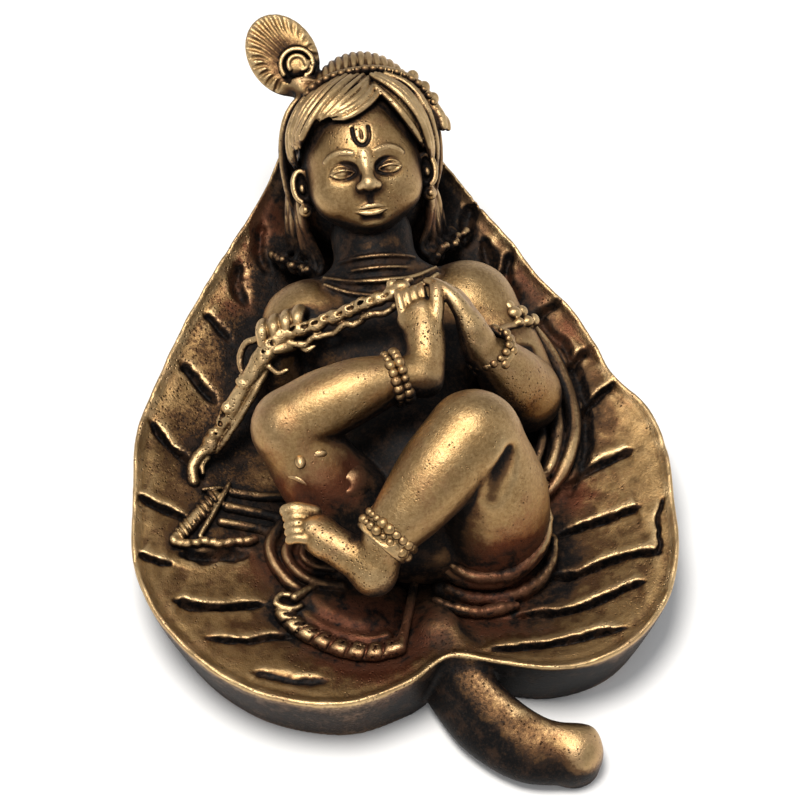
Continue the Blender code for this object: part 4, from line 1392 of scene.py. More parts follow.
def add_strip(clay, leaf, part):
    """The sash's narrow end on the other side, with its hem and dull folds behind it."""
    for points, thick, lift in (
        (((-12.6, -6.6), (-15.2, -6.5), (-18.2, -6.0)), 0.55, 0.5),
        (((-13.2, -9.4), (-16.0, -8.6), (-19.0, -7.9)), 0.6, 0.55),
        (((-13.2, -11.6), (-16.4, -10.6), (-19.8, -9.9)), 0.55, 0.5),
    ):
        clay.bar(on_leaf(leaf, [(x, y, thick) for x, y in points], lift - 0.3, part), blend=0.7, steps=6)
    core = [(-20.2, -6.5, 0.6), (-21.6, -8.3, 0.8), (-23.4, -10.6, 0.85), (-24.9, -12.4, 0.75)]
    clay.bar(on_leaf(leaf, core, 0.25, part), blend=0.35, steps=6)
    rng = np.random.default_rng(41)
    hem = smooth_path(
        ((-25.2, -12.8), (-24.0, -13.2), (-22.0, -12.8), (-20.2, -13.0), (-18.2, -12.7), (-16.4, -12.4)),
        6,
    )
    rows = [(x, y + rng.uniform(-0.12, 0.12), rng.uniform(0.38, 0.56), 0.1) for x, y in hem]
    clay.bar(on_leaf(leaf, rows, 0.5, part), blend=0.15, steps=2)
    ridge = [(-18.5, -5.0, 0.3), (-19.6, -7.2, 0.36), (-21.0, -9.7, 0.36), (-22.3, -12.0, 0.32)]
    clay.bar(on_leaf(leaf, ridge, 0.55, part), blend=0.25, steps=6)
    clay.bar(
        on_leaf(leaf, [(-21.4, -5.9, 0.3), (-20.2, -5.7, 0.3), (-19.4, -5.6, 0.2)], 0.5, part),
        blend=0.15,
    )


def add_waist_fold(dress):
    """A rounded fold of cloth between the thighs, with two small studs beside it."""
    dress.group(
        ball((-6.0, -12.6, 11.2), (2.9, 2.7, 2.7)),
        ball((-8.5, -12.4, 12.7), (1.6, 1.8, 1.6)),
        ball((-3.6, -12.6, 9.8), (2.0, 2.4, 2.4)),
        ball((-6.8, -14.9, 9.6), (2.0, 1.6, 2.0)),
        inner=0.6, smooth=0.3,
    )
    dress.ball((-6.1, -14.1, 13.6), (0.28, 0.5, 0.5), blend=0.4, cut=True)
    dress.bar(
        [(-7.5, -11.0, 14.2, 0.25), (-7.5, -12.8, 14.2, 0.35), (-7.9, -14.6, 13.0, 0.25)],
        blend=0.5, cut=True,
    )
    dress.bar(
        [(-9.6, -11.6, 14.1, 0.22), (-8.8, -12.4, 14.5, 0.26), (-7.9, -12.1, 14.6, 0.22)],
        blend=0.2,
    )
    dress.ball((-10.9, -11.9, 15.8), (0.62, 1.0, 0.6), blend=0.15)
    dress.ball((-8.9, -11.3, 15.9), (1.0, 0.5, 0.5), blend=0.15)
    hem = [
        (-14.4, -9.0, 11.8, 0.3), (-13.0, -11.4, 13.4, 0.4), (-11.3, -12.9, 14.0, 0.42),
        (-9.8, -13.8, 13.2, 0.35),
    ]
    dress.bar(hem, blend=0.35, steps=8)
    edge = [(-9.4, -13.6, 13.0, 0.3), (-9.2, -15.4, 11.4, 0.36), (-9.4, -16.9, 10.2, 0.3)]
    dress.bar(edge, blend=0.3, steps=6)


# The rings of beads on the limbs: centre, axis and radius
RINGS = (
    ((0.4, -4.5, 18.7), (1.0, 0.22, 0.1), 2.75),
    ((-2.6, -21.4, 14.5), (0.72, 0.55, 0.4), 3.1),
    ((11.2, 0.2, 15.4), (-0.45, 0.15, 0.9), 2.65),
)


def add_rings(dress):
    """The bands under the beads of the anklets and the bracelet."""
    for centre, axis, radius in RINGS:
        way = np.array(axis) / np.linalg.norm(axis)
        for shift, thick in ((-1.15, 0.38), (-0.5, 0.5), (0.5, 0.5), (1.15, 0.38)):
            middle = np.array(centre) + shift * way
            ring = ring_path(middle, axis, radius - 0.25)
            dress.bar([(*row, thick) for row in ring], blend=0.25, steps=1)


def add_armlet(dress):
    """The armlet's ornament and its strap, on the near arm."""
    dress.bar(
        [(11.6, 3.2, 12.6, 0.3), (13.2, 5.0, 12.6, 0.42), (15.4, 6.4, 11.2, 0.45), (17.0, 7.2, 9.2, 0.4)],
        blend=0.15,
    )
    dress.group(
        ball((15.0, 7.6, 11.8), (0.9, 0.8, 0.8)),
        ball((14.6, 8.8, 11.6), (0.7, 0.7, 0.7)),
        ball((16.0, 8.4, 10.8), (0.75, 0.8, 0.8)),
        ball((16.4, 7.0, 10.8), (0.8, 0.7, 0.7)),
        ball((17.3, 7.8, 9.8), (0.7, 0.8, 0.8)),
        ball((15.4, 6.3, 11.8), (0.6, 0.6, 0.6)),
        inner=0.12,
    )


# The rod


def sculpt_rod(sizes):
    part = part_size(sizes)
    clay = Clay((-25.0, -7.5, 4.5), (5.0, 10.5, 27.5), step_of(sizes, 0.12))
    rod = Shaper(clay, part, (0.0, 0.0, TO_MM * sizes.floor_thickness))
    add_upper_rod(rod)
    add_lower_rod(rod)
    return clay


def add_upper_rod(rod):
    """A lumpy ridge from the fist to the mouth, with a thinner wavy one below it."""
    line = smooth_path(
        [
            (2.4, 5.8, 20.5, 0.75), (-1.2, 5.8, 18.9, 0.8), (-4.6, 5.9, 17.0, 0.85),
            (-8.0, 6.0, 15.2, 0.8), (-11.0, 6.4, 14.0, 0.9),
        ],
        8,
    )
    rng = np.random.default_rng(7)
    for row in line:
        row[:3] += rng.uniform(-0.16, 0.16, 3)
        row[3] *= rng.uniform(0.80, 1.12)
    rod.bar(line, blend=0.3, steps=2)
    lower = line.copy()
    lower[:, 1] -= 1.25
    lower[:, 2] -= 0.75
    lower[:, 3] = 0.42
    wave = np.sin(np.arange(len(lower)) * 0.9)
    lower[:, 2] += 0.22 * wave
    lower[:, 1] += 0.12 * wave
    rod.bar(lower, blend=0.12, steps=3)
    for i in range(2, len(line) - 3, 3):
        spot = line[i, :3] + (0.1, -0.15, 0.85)
        rod.ball(spot, (0.42, 0.24, 0.5), blend=0.15, cut=True)
    rod.bar([(-9.4, 4.9, 13.6, 0.3), (-8.6, 4.2, 13.4, 0.32), (-7.7, 4.4, 13.7, 0.26)], blend=0.2)
    rod.group(
        ball((2.2, 6.2, 20.4), (1.0, 0.9, 0.9)),
        ball((3.0, 7.2, 20.0), (0.7, 0.6, 0.7)),
        ball((1.2, 6.9, 20.2), (0.6, 0.7, 0.6)),
        inner=0.2,
    )


def add_lower_rod(rod):
    """The rod below the fist: tapered, pitted, with a small collar and a hooked end."""
    rod.bar(
        [
            (-11.4, 6.0, 13.9, 1.15), (-13.0, 4.8, 12.7, 1.2), (-14.6, 3.4, 11.2, 1.05),
            (-16.0, 2.3, 9.6, 0.95), (-17.4, 1.1, 7.8, 1.05), (-18.8, 0.0, 6.0, 0.85),
            (-20.0, -1.0, 4.7, 0.8),
        ],
        blend=0.3, steps=6,
    )
    rod.bar([(-20.0, -0.9, 4.9, 1.0), (-20.3, -1.3, 4.4, 1.02)], blend=0.12)
    rod.bar(
        [
            (-20.4, -1.4, 4.4, 0.75), (-21.6, -2.2, 4.2, 0.72), (-22.4, -3.4, 3.6, 0.7),
            (-22.4, -4.8, 3.0, 0.72),
        ],
        blend=0.2,
    )
    rod.bar([(-20.6, -2.4, 4.0, 0.35), (-21.2, -3.0, 3.7, 0.35), (-21.3, -3.8, 3.3, 0.3)], blend=0.15)
    inner = [
        (-13.2, 3.2, 11.6, 0.4), (-14.4, 1.9, 10.4, 0.42), (-16.2, 0.4, 8.2, 0.42),
        (-18.4, -1.2, 5.6, 0.4), (-19.6, -1.9, 4.2, 0.3),
    ]
    rod.bar(inner, blend=0.15, steps=6)
    rod.bar([(-13.0, 3.6, 12.2, 0.34), (-12.0, 2.2, 12.4, 0.34), (-11.0, 2.2, 12.8, 0.3)], blend=0.15)
    rod.bar([(-15.2, 3.4, 10.4, 0.3), (-16.0, 3.9, 10.2, 0.3)], blend=0.2)
    loop = [
        (-13.6, 6.8, 12.8, 0.42), (-15.0, 7.0, 12.0, 0.42), (-15.8, 6.2, 11.0, 0.38),
        (-15.9, 4.9, 10.2, 0.34), (-15.4, 3.9, 9.8, 0.34),
    ]
    rod.bar(loop, blend=0.15, steps=6)
    rng = np.random.default_rng(11)
    for share in np.linspace(0.03, 0.97, 26):
        spot = np.array([-12.0, 5.4, 14.4]) * (1.0 - share) + np.array([-19.6, -0.7, 5.6]) * share
        knot = spot + rng.uniform(-0.75, 0.75, 3) + (0.0, 0.0, -0.5)
        rod.ball(knot, rng.uniform(0.45, 0.75, 3), blend=0.3)
        spot += rng.uniform(-0.45, 0.45, 3)
        rod.ball(spot, rng.uniform(0.24, 0.38, 3), blend=0.16, cut=True)


# Beads and ribs, by Geometry Nodes


def group_input(tree, name, kind, default=None):
    socket = tree.interface.new_socket(name=name, in_out="INPUT", socket_type=kind)
    if default is not None:
        socket.default_value = default
    return socket.identifier


def along_path_tree(name, ribs):
    """Small round beads, or ribs laid across, at even steps along each line of the mesh."""
    tree = bpy.data.node_groups.new(name, "GeometryNodeTree")
    slots = {}
    for label, kind, default in (
        ("Geometry", "Geometry", None), ("Radius", "Float", 0.0006), ("Spacing", "Float", 0.001),
        ("Across", "Float", 1.0), ("Lean", "Float", 0.0), ("Unevenness", "Float", 0.1),
        ("Seed", "Int", 1), ("Brass", "Material", None),
    ):
        slots[label] = group_input(tree, label, "NodeSocket" + kind, default)
    tree.interface.new_socket(name="Geometry", in_out="OUTPUT", socket_type="NodeSocketGeometry")

    def add(kind, **settings):
        node = tree.nodes.new(kind)
        for key, value in settings.items():
            setattr(node, key, value)
        return node

    def join(source, target):
        tree.links.new(source, target)

    source = add("NodeGroupInput").outputs
    curve = add("GeometryNodeMeshToCurve")
    points = add("GeometryNodeCurveToPoints", mode="LENGTH")
    shape = add("GeometryNodeMeshUVSphere")
    shape.inputs["Segments"].default_value = BEAD_SEGMENTS
    shape.inputs["Rings"].default_value = BEAD_RINGS
    sizes = add("FunctionNodeRandomValue", data_type="FLOAT")
    low = add("ShaderNodeMath", operation="SUBTRACT")
    high = add("ShaderNodeMath", operation="ADD")
    wide = add("ShaderNodeMath", operation="MULTIPLY")
    scale = add("ShaderNodeCombineXYZ")
    leaning = add("ShaderNodeVectorRotate", rotation_type="Z_AXIS")
    ahead = add("FunctionNodeAlignRotationToVector", axis="X")
    upright = add("FunctionNodeAlignRotationToVector", axis="Z", pivot_axis="X")
    place = add("GeometryNodeInstanceOnPoints")
    smooth = add("GeometryNodeSetShadeSmooth")
    real = add("GeometryNodeRealizeInstances")
    paint = add("GeometryNodeSetMaterial")
    out = add("NodeGroupOutput")
    join(source["Geometry"], curve.inputs[0])
    join(curve.outputs[0], points.inputs["Curve"])
    join(source["Spacing"], points.inputs["Length"])
    join(source["Radius"], shape.inputs["Radius"])
    low.inputs[0].default_value = 1.0
    high.inputs[0].default_value = 1.0
    join(source["Unevenness"], low.inputs[1])
    join(source["Unevenness"], high.inputs[1])
    join(low.outputs[0], [s for s in sizes.inputs if s.name == "Min" and s.enabled][0])
    join(high.outputs[0], [s for s in sizes.inputs if s.name == "Max" and s.enabled][0])
    join(source["Seed"], sizes.inputs["Seed"])
    random = [s for s in sizes.outputs if s.enabled][0]
    join(random, wide.inputs[0])
    join(source["Across"], wide.inputs[1])
    join(random, scale.inputs[0])
    join(wide.outputs[0], scale.inputs[1])
    join(random, scale.inputs[2])
    join(points.outputs["Tangent"], leaning.inputs["Vector"])
    join(source["Lean"], leaning.inputs["Angle"])
    join(leaning.outputs[0], ahead.inputs["Vector"])
    join(ahead.outputs[0], upright.inputs["Rotation"])
    upright.inputs["Vector"].default_value = (0.0, 0.0, 1.0) if ribs else (0.2, 0.1, 1.0)
    join(points.outputs["Points"], place.inputs["Points"])
    join(shape.outputs["Mesh"], place.inputs["Instance"])
    join(upright.outputs[0], place.inputs["Rotation"])
    join(scale.outputs[0], place.inputs["Scale"])
    join(place.outputs[0], smooth.inputs[0])
    join(smooth.outputs[0], real.inputs[0])
    join(real.outputs[0], paint.inputs["Geometry"])
    join(source["Brass"], paint.inputs["Material"])
    join(paint.outputs[0], out.inputs[0])
    return tree, slots


def lay_along(name, tree, slots, paths, radius, spacing, across=1.0, lean=0.0, uneven=0.12, seed=1):
    """Runs a tree over these lines, given in millimetres, and keeps the plain mesh it makes."""
    points = []
    edges = []
    for path in paths:
        start = len(points)
        points.extend(tuple(row) for row in np.asarray(path, float)[:, :3] * TO_M)
        edges.extend((start + i, start + i + 1) for i in range(len(path) - 1))
    mesh = bpy.data.meshes.new(name)
    mesh.from_pydata(points, edges, [])
    obj = bpy.data.objects.new(name, mesh)
    bpy.context.scene.collection.objects.link(obj)
    nodes = obj.modifiers.new("Along", "NODES")
    nodes.node_group = tree
    nodes[slots["Radius"]] = radius * TO_M
    nodes[slots["Spacing"]] = spacing * TO_M
    nodes[slots["Across"]] = across
    nodes[slots["Lean"]] = lean
    nodes[slots["Unevenness"]] = uneven
    nodes[slots["Seed"]] = seed
    nodes[slots["Brass"]] = brass()
    settle(obj)
    if not len(obj.data.polygons):
        raise RuntimeError(f"{name}: the path has made no faces")
    keep_piece(obj, None)
    return obj


def ring_path(centre, axis, radius, count=28):
    """A closed ring round this axis, in millimetres."""
    turn = np.array(Vector(axis).to_track_quat("Z", "X").to_matrix())
    angles = np.linspace(0.0, 2.0 * math.pi, count + 1)
    rows = np.stack([radius * np.cos(angles), radius * np.sin(angles), 0.0 * angles], axis=1)
    return rows @ turn.T + np.asarray(centre, float)


def lay_beads(sizes):
    """The anklets, the bracelet and the band over the hair."""
    part = part_size(sizes)
    lift = np.array([0.0, 0.0, TO_MM * sizes.floor_thickness])
    tree, slots = along_path_tree("Beads Along Path", ribs=False)
    rings = []
    for centre, axis, radius in RINGS:
        way = np.array(axis) / np.linalg.norm(axis)
        for shift in (-0.5, 0.5):
            middle = (np.array(centre) + shift * way) * part + lift
            rings.append(ring_path(middle, axis, (radius - 0.12) * part))
    bead = TO_MM * sizes.bead_radius
    lay_along("ring_beads", tree, slots, rings, bead, 1.75 * bead, uneven=0.34, seed=3)
    turn = np.array(head_frame(sizes).to_3x3())
    centre = np.array(head_frame(sizes).translation)
    band = smooth_path(np.array(BAND) * part, 6) @ turn.T + centre
    lay_along("band_beads", tree, slots, [band], 0.92 * bead, 1.7 * bead, uneven=0.28, seed=5)


def lay_ribs(sizes):
    """The ribbed strip of the sash."""
    leaf = Leaf(sizes)
    part = part_size(sizes)
    tree, slots = along_path_tree("Ribs Across Path", ribs=True)
    strip = smooth_path(
        on_leaf(leaf, [(-20.5, -6.9, 1.0), (-22.2, -9.2, 1.0), (-24.5, -12.0, 1.0)], 0.75, part),
        10,
    )
    lay_along("strip_ribs", tree, slots, [strip], 0.40, 0.74, across=2.5, lean=-0.45, uneven=0.1, seed=9)


# The age of the brass


def surround_field(step=0.36):
    """The distance to the nearest surface of the whole statue, on coarse cells."""
    whole = Clay((-34.0, -49.0, -3.0), (34.0, 49.0, 37.0), step)
    for clay in CLAYS.values():
        corners = np.array(list(np.ndindex(2, 2, 2))) * clay.step * (clay.size - 1) + clay.low
        corners = clay.world(corners)
        cells, axes = whole.window(corners.min(axis=0), corners.max(axis=0))
        grid = np.stack(np.broadcast_arrays(*axes), axis=-1).reshape(-1, 3).astype(float)
        found = clay.at(grid).reshape(whole.field[cells].shape)
        whole.field[cells] = np.minimum(whole.field[cells], found)
    return whole


def look_directions(count):
    """Directions spread evenly over a ball."""
    i = np.arange(count) + 0.5
    down = np.arccos(1.0 - 2.0 * i / count)
    round_ = math.pi * (1.0 + 5.0**0.5) * i
    return np.stack([np.cos(round_) * np.sin(down), np.sin(round_) * np.sin(down), np.cos(down)], axis=1)


def closed_in(whole, spots, normals):
    """How much of what each place faces is blocked near by: 0 in the open, 1 in a deep hollow."""
    blocked = np.zeros(len(spots))
    weights = np.zeros(len(spots))
    start = spots + 0.30 * normals
    for way in look_directions(26):
        facing = normals @ way
        seen = facing > 0.05
        if not seen.any():
            continue
        most = np.zeros(int(seen.sum()))
        for reach in (0.8, 1.5, 2.5, 3.8, 5.6):
            cell = np.rint((start[seen] + reach * way - whole.low) / whole.step).astype(int)
            cell = np.clip(cell, 0, whole.size - 1)
            near = whole.field[cell[:, 0], cell[:, 1], cell[:, 2]]
            most = np.maximum(most, np.clip(1.0 - near / (0.42 * reach), 0.0, 1.0))
        blocked[seen] += facing[seen] * most
        weights[seen] += facing[seen]
    return blocked / np.maximum(weights, 1e-6)


# Where painted shade and dark patina are laid, as under the chin and between the arms: centre in
# millimetres, reach, and how dark
SHADE_AND_PATINA_SPOTS = (
    ((0.2, 17.8, 16.5), 6.4, 2.4),
    ((0.2, 6.6, 14.6), 7.4, 1.5),
    ((-14.6, -8.9, 6.2), 4.0, 0.8),
    ((-2.6, -27.0, 15.5), 3.2, 0.5),
    ((-3.0, -8.0, 7.5), 8.0, 1.0),
    ((0.5, -9.0, 13.5), 6.0, 0.9),
    ((-7.0, -23.0, 7.0), 8.5, 0.62),
    ((-8.8, 22.5, 10.5), 7.5, 0.55),
    ((10.2, 23.0, 10.5), 7.5, 0.42),
    ((-16.5, 12.5, 7.5), 7.5, 0.5),
    ((-18.5, -6.5, 6.5), 7.5, 0.5),
    ((9.0, -22.5, 5.0), 8.5, 0.62),
    ((11.0, -23.0, 11.0), 5.0, 0.6),
    ((19.5, -1.0, 5.5), 7.0, 0.36),
    ((-2.5, 31.0, 12.0), 8.0, 0.40),
    ((9.6, 4.4, 20.0), 3.6, 0.6),
    ((-1.6, -17.5, 14.0), 4.0, 0.5),
    ((3.0, -29.5, 5.5), 5.5, 0.55),
    ((3.6, -34.0, 3.5), 5.0, 1.3),
    ((5.9, -38.4, 3.2), 4.6, 1.5),
    ((9.0, -42.0, 3.0), 4.4, 1.3),
    ((13.0, -44.2, 2.4), 3.6, 0.9),
    ((2.2, -27.3, 7.4), 4.2, 0.6),
    ((0.0, 29.0, 27.0), 9.0, 0.28),
    ((-7.8, 27.0, 22.0), 4.5, 0.5),
    ((9.8, 26.0, 21.5), 4.0, 0.35),
    ((0.5, 36.0, 25.5), 5.5, 0.75),
    ((-8.5, 38.5, 25.5), 4.5, 0.22),
    ((-12.0, 9.5, 12.0), 4.0, 0.4),
)

# Where the brass is red as copper: centre, reach, and how red
COPPER = (
    ((-7.0, -13.0, 17.0), 4.6, 1.0),
    ((-12.3, -13.4, 14.0), 4.6, 0.9),
    ((-8.0, -26.5, 7.0), 7.0, 0.8),
    ((-3.0, -27.0, 7.5), 6.0, 0.8),
    ((8.5, -24.0, 7.5), 7.5, 0.75),
    ((18.5, -10.5, 7.0), 4.5, 0.8),
    ((-13.5, -16.5, 7.5), 5.0, 0.7),
    ((-19.0, -12.8, 7.5), 5.0, 0.5),
    ((-13.5, 26.0, 11.0), 6.0, 0.5),
    ((16.5, 16.5, 9.5), 6.0, 0.5),
    ((21.5, 8.5, 9.0), 6.0, 0.5),
    ((-16.0, 18.0, 9.0), 6.0, 0.45),
    ((-9.8, 33.5, 21.0), 4.5, 0.5),
    ((8.8, 27.0, 21.0), 5.0, 0.5),
    ((0.5, 36.0, 25.5), 5.0, 0.6),
    ((8.6, 20.0, 17.0), 4.5, 0.6),
    ((-8.0, 20.0, 17.0), 4.5, 0.6),
    ((-12.0, 29.0, 12.0), 5.0, 0.6),
    ((0.5, 9.5, 18.0), 4.5, 0.4),
    ((4.2, 1.0, 22.0), 4.0, 0.45),
    ((11.5, -20.5, 14.0), 6.5, 0.7),
    ((-4.0, -33.0, 8.0), 5.0, 0.4),
)


# Where the brass is rough and pitted: centre, reach, and how much
PITTED = (
    ((15.3, -5.2, 16.6), 3.8, 1.7),
    ((-9.0, -20.6, 19.0), 4.5, 1.0),
    ((-5.0, -24.0, 17.5), 4.0, 0.8),
    ((8.4, 2.0, 25.0), 3.6, 1.3),
    ((4.4, 0.0, 25.0), 4.0, 0.8),
    ((-15.0, 3.4, 14.5), 7.0, 0.9),
    ((-20.0, -3.0, 6.0), 8.0, 0.8),
    ((0.0, -38.0, 4.0), 16.0, 0.5),
    ((-4.0, 6.0, 22.5), 6.0, 0.8),
    ((-23.0, 4.0, 8.5), 9.0, 0.8),
    ((-18.5, 14.0, 8.5), 7.0, 0.9),
    ((-15.0, 22.0, 10.0), 6.0, 0.8),
    ((0.0, 25.0, 30.0), 6.5, 0.25),
    ((24.0, -25.0, 8.0), 6.0, 0.4),
)


def spots_of(places, spots):
    """How strongly these places reach each spot."""
    total = np.zeros(len(spots))
    for centre, reach, power in places:
        away = ((spots - np.array(centre)) ** 2).sum(axis=1) / reach**2
        total = total + power * np.exp(-1.6 * away)
    return total


def age_pieces():
    """Writes on every piece how hollow and how darkened by painted shade, how exposed and how red each of
    its points is.
    """
    whole = surround_field()
    soft = {name: clay.averaged(1.1, 1.2) for name, clay in CLAYS.items()}
    # The way the light comes from: from above, a little towards the front
    light_way = np.array([0.03, -0.16, 0.97])
    for obj, name in PIECES:
        mesh = obj.data
        spots = read_points(mesh)
        normals = read_normals(mesh)
        turned = normals @ light_way
        # Painted shade and dark patina from the spots above, weaker on faces turned up to the light
        spot_shade_and_patina = spots_of(SHADE_AND_PATINA_SPOTS, spots) * (1.0 - 0.45 * smooth_step(0.35, 0.95, turned))
        spot_shade_and_patina = np.minimum(spot_shade_and_patina, 1.5) * (1.0 + 0.28 * lumps(spots, 2.6, 77) + 0.22 * lumps(spots, 1.1, 78))
        hollow_and_shade = closed_in(whole, spots, normals) + 0.7 * spot_shade_and_patina
        # Painted shade: faces turned away from the light are made darker
        hollow_and_shade = hollow_and_shade + 0.46 * (1.0 - smooth_step(-0.20, 0.72, turned))
        # Darker towards the bottom, below 9 to 16 millimetres
        hollow_and_shade = hollow_and_shade + 0.12 * (1.0 - smooth_step(9.0, 16.0, spots[:, 2]))
        pitted = spots_of(PITTED, spots)
        if name:
            edge = np.clip(CLAYS[name].at(spots, soft[name]) / 0.16, -1.0, 1.0)
            edge[np.abs(CLAYS[name].at(spots)) > 1.0] = 0.0
        else:
            edge = np.full(len(spots), 0.35)
        copper = spots_of(COPPER, spots)
        for label, values in (("hollow_and_shade", hollow_and_shade), ("edge", edge), ("copper", copper), ("pitted", pitted)):
            mesh.attributes.new(label, "FLOAT", "POINT")
            mesh.attributes[label].data.foreach_set("value", values.astype(np.float32))


class Wire:
    """A value in a node tree, so that the maths of a material reads as an expression."""

    def __init__(self, tree, socket):
        self.tree = tree
        self.socket = socket

    def math(self, operation, *others, swap=False):
        node = self.tree.nodes.new("ShaderNodeMath")
        node.operation = operation
        values = (others[0], self) if swap else (self, *others)
        for slot, value in zip(node.inputs, values):
            plug(self.tree, slot, value)
        return Wire(self.tree, node.outputs[0])

    def __add__(self, other):
        return self.math("ADD", other)

    def __sub__(self, other):
        return self.math("SUBTRACT", other)

    def __rsub__(self, other):
        return self.math("SUBTRACT", other, swap=True)

    def __mul__(self, other):
        return self.math("MULTIPLY", other)

    def __pow__(self, other):
        return self.math("POWER", other)

    __radd__ = __add__
    __rmul__ = __mul__

    def within(self, low, high):
        """A smooth step from 0 at low to 1 at high."""
        node = self.tree.nodes.new("ShaderNodeMapRange")
        node.interpolation_type = "SMOOTHSTEP"
        plug(self.tree, node.inputs["Value"], self)
        node.inputs["From Min"].default_value = low
        node.inputs["From Max"].default_value = high
        return Wire(self.tree, node.outputs["Result"])


def plug(tree, slot, value):
    if isinstance(value, Wire):
        tree.links.new(value.socket, slot)
    elif isinstance(value, (tuple, list)):
        slot.default_value = (*value, 1.0) if len(value) == 3 and slot.type == "RGBA" else value
    else:
        slot.default_value = value


class Recipe:
    """The nodes of one material."""

    def __init__(self, tree):
        self.tree = tree

    def node(self, kind, settings=None, output=0, **values):
        """A node of this kind with its settings, its socket values, and one of its outputs."""
        node = self.tree.nodes.new(kind)
        for key, value in (settings or {}).items():
            setattr(node, key, value)
        for key, value in values.items():
            plug(self.tree, node.inputs[key.replace("_", " ")], value)
        return Wire(self.tree, node.outputs[output])

    def mix(self, share, first, second):
        """A colour between two colours."""
        node = self.tree.nodes.new("ShaderNodeMix")
        node.data_type = "RGBA"
        plug(self.tree, node.inputs[0], share)
        plug(self.tree, node.inputs[6], first)
        plug(self.tree, node.inputs[7], second)
        return Wire(self.tree, node.outputs[2])


def brass():
    """Aged brass: bright on what stands out, black in what is hollow and where shade is painted, with
    copper between.
    """
    material = bpy.data.materials.get(SLOT + "_finish")
    if material:
        return material
    material = bpy.data.materials.new(SLOT + "_finish")
    material.use_nodes = True
    tree = material.node_tree
    recipe = Recipe(tree)
    shader = tree.nodes["Principled BSDF"]
    place = recipe.node("ShaderNodeTexCoord", output="Object")
    place = recipe.node("ShaderNodeVectorMath", {"operation": "SCALE"}, Vector=place, Scale=1000.0)
    hollow_and_shade, edge, copper, pitted = (
        recipe.node(
            "ShaderNodeAttribute", {"attribute_name": name}, output="Fac",
        ) for name in ("hollow_and_shade", "edge", "copper", "pitted")
    )

    def noise(scale, detail, roughness=0.6):
        return recipe.node(
            "ShaderNodeTexNoise", Vector=place, Scale=scale, Detail=detail, Roughness=roughness,
        )

    broad = noise(0.13, 2.0)
    patch = noise(0.55, 5.0, 0.65)
    fine = noise(2.6, 5.0, 0.7)
    speck = noise(7.5, 3.0, 0.6)
    cells = recipe.node("ShaderNodeTexVoronoi", output="Distance", Vector=place, Scale=2.3)
    pits = (1.0 - cells.within(0.08, 0.34)) * (patch + 0.24 * pitted).within(0.50, 0.66)
    hollow = (edge * -1.0).math("MAXIMUM", 0.0)
    # How dark the brass grows: patina in hollows together with the painted shade of the attribute
    depth = hollow_and_shade + 0.46 * (patch - 0.5) + 0.30 * (fine - 0.5) - 0.16 * edge + 0.30 * hollow
    depth = depth + 0.30 * pitted * (fine.within(0.35, 0.75) - 0.35)
    red = (copper + 0.9 * (patch - 0.5)).within(0.20, 0.70)
    # Black patina, and painted shade in the same black
    patina_and_shade = depth.within(0.34, 0.60) * (1.0 - 0.62 * red * patch.within(0.36, 0.56))
    # Brown stain, and painted shade in the same brown
    stain_and_shade = depth.within(0.14, 0.38)
    warm = broad.within(0.44, 0.60) * patch.within(0.40, 0.60)
    bright = (edge + 0.5 * (fine - 0.5)).within(0.05, 0.80) * (0.45 + 0.55 * patch.within(0.38, 0.60))
    gold = recipe.mix(fine.within(0.3, 0.7), (0.31, 0.184, 0.074), (0.45, 0.288, 0.126))
    gold = recipe.mix(bright, gold, (0.68, 0.475, 0.242))
    gold = recipe.mix(warm * 0.35, gold, (0.30, 0.135, 0.066))
    gold = recipe.mix(red * (1.0 - 0.55 * bright) * 0.7, gold, (0.24, 0.088, 0.044))
    brown = recipe.mix(red, (0.088, 0.040, 0.020), (0.120, 0.036, 0.020))
    colour = recipe.mix(stain_and_shade * 0.85, gold, brown)
    black = recipe.mix(fine.within(0.44, 0.70), (0.0032, 0.0029, 0.0031), (0.020, 0.012, 0.008))
    black = recipe.mix(patch.within(0.50, 0.66) * 0.7, black, (0.040, 0.021, 0.012))
    colour = recipe.mix(patina_and_shade, colour, black)
    colour = recipe.mix(pits * 0.8, colour, (0.02, 0.012, 0.008))
    colour = recipe.mix(speck.within(0.60, 0.72) * 0.55, colour, (0.05, 0.028, 0.013))
    dull = (patina_and_shade + 0.6 * pits + 0.3 * stain_and_shade).math("MINIMUM", 1.0)
    plug(tree, shader.inputs["Base Color"], colour)
    plug(tree, shader.inputs["Metallic"], 1.0 - 0.85 * patina_and_shade)
    plug(tree, shader.inputs["Roughness"], 0.31 + 0.18 * fine + 0.14 * dull)
    shader.inputs["Specular IOR Level"].default_value = 0.12
    height = 0.55 * fine + 0.35 * speck + 0.7 * patch - 0.9 * pits
    bump = recipe.node("ShaderNodeBump", Strength=0.75, Distance=0.00011, Height=height)
    plug(tree, shader.inputs["Normal"], bump)
    return material


# The stage


def plain_material(name, colour, roughness):
    material = bpy.data.materials.new(name)
    material.use_nodes = True
    shader = material.node_tree.nodes["Principled BSDF"]
    shader.inputs["Base Color"].default_value = (*colour, 1.0)
    shader.inputs["Roughness"].default_value = roughness
    shader.inputs["Specular IOR Level"].default_value = 0.2
    return material


# Half the width of the floor, in lengths of the leaf
FLOOR_LEAVES = 14.0


def add_floor(sizes):
    mesh = bpy.data.meshes.new("floor")
    half = FLOOR_LEAVES * sizes.leaf_length
    mesh.from_pydata(
        [(-half, -half, 0.0), (half, -half, 0.0), (half, half, 0.0), (-half, half, 0.0)],
        [],
        [(0, 1, 2, 3)],
    )
    floor = bpy.data.objects.new("floor", mesh)
    floor.data.materials.append(plain_material("floor_paper", (0.97, 0.965, 0.955), 0.8))
    bpy.context.scene.collection.objects.link(floor)


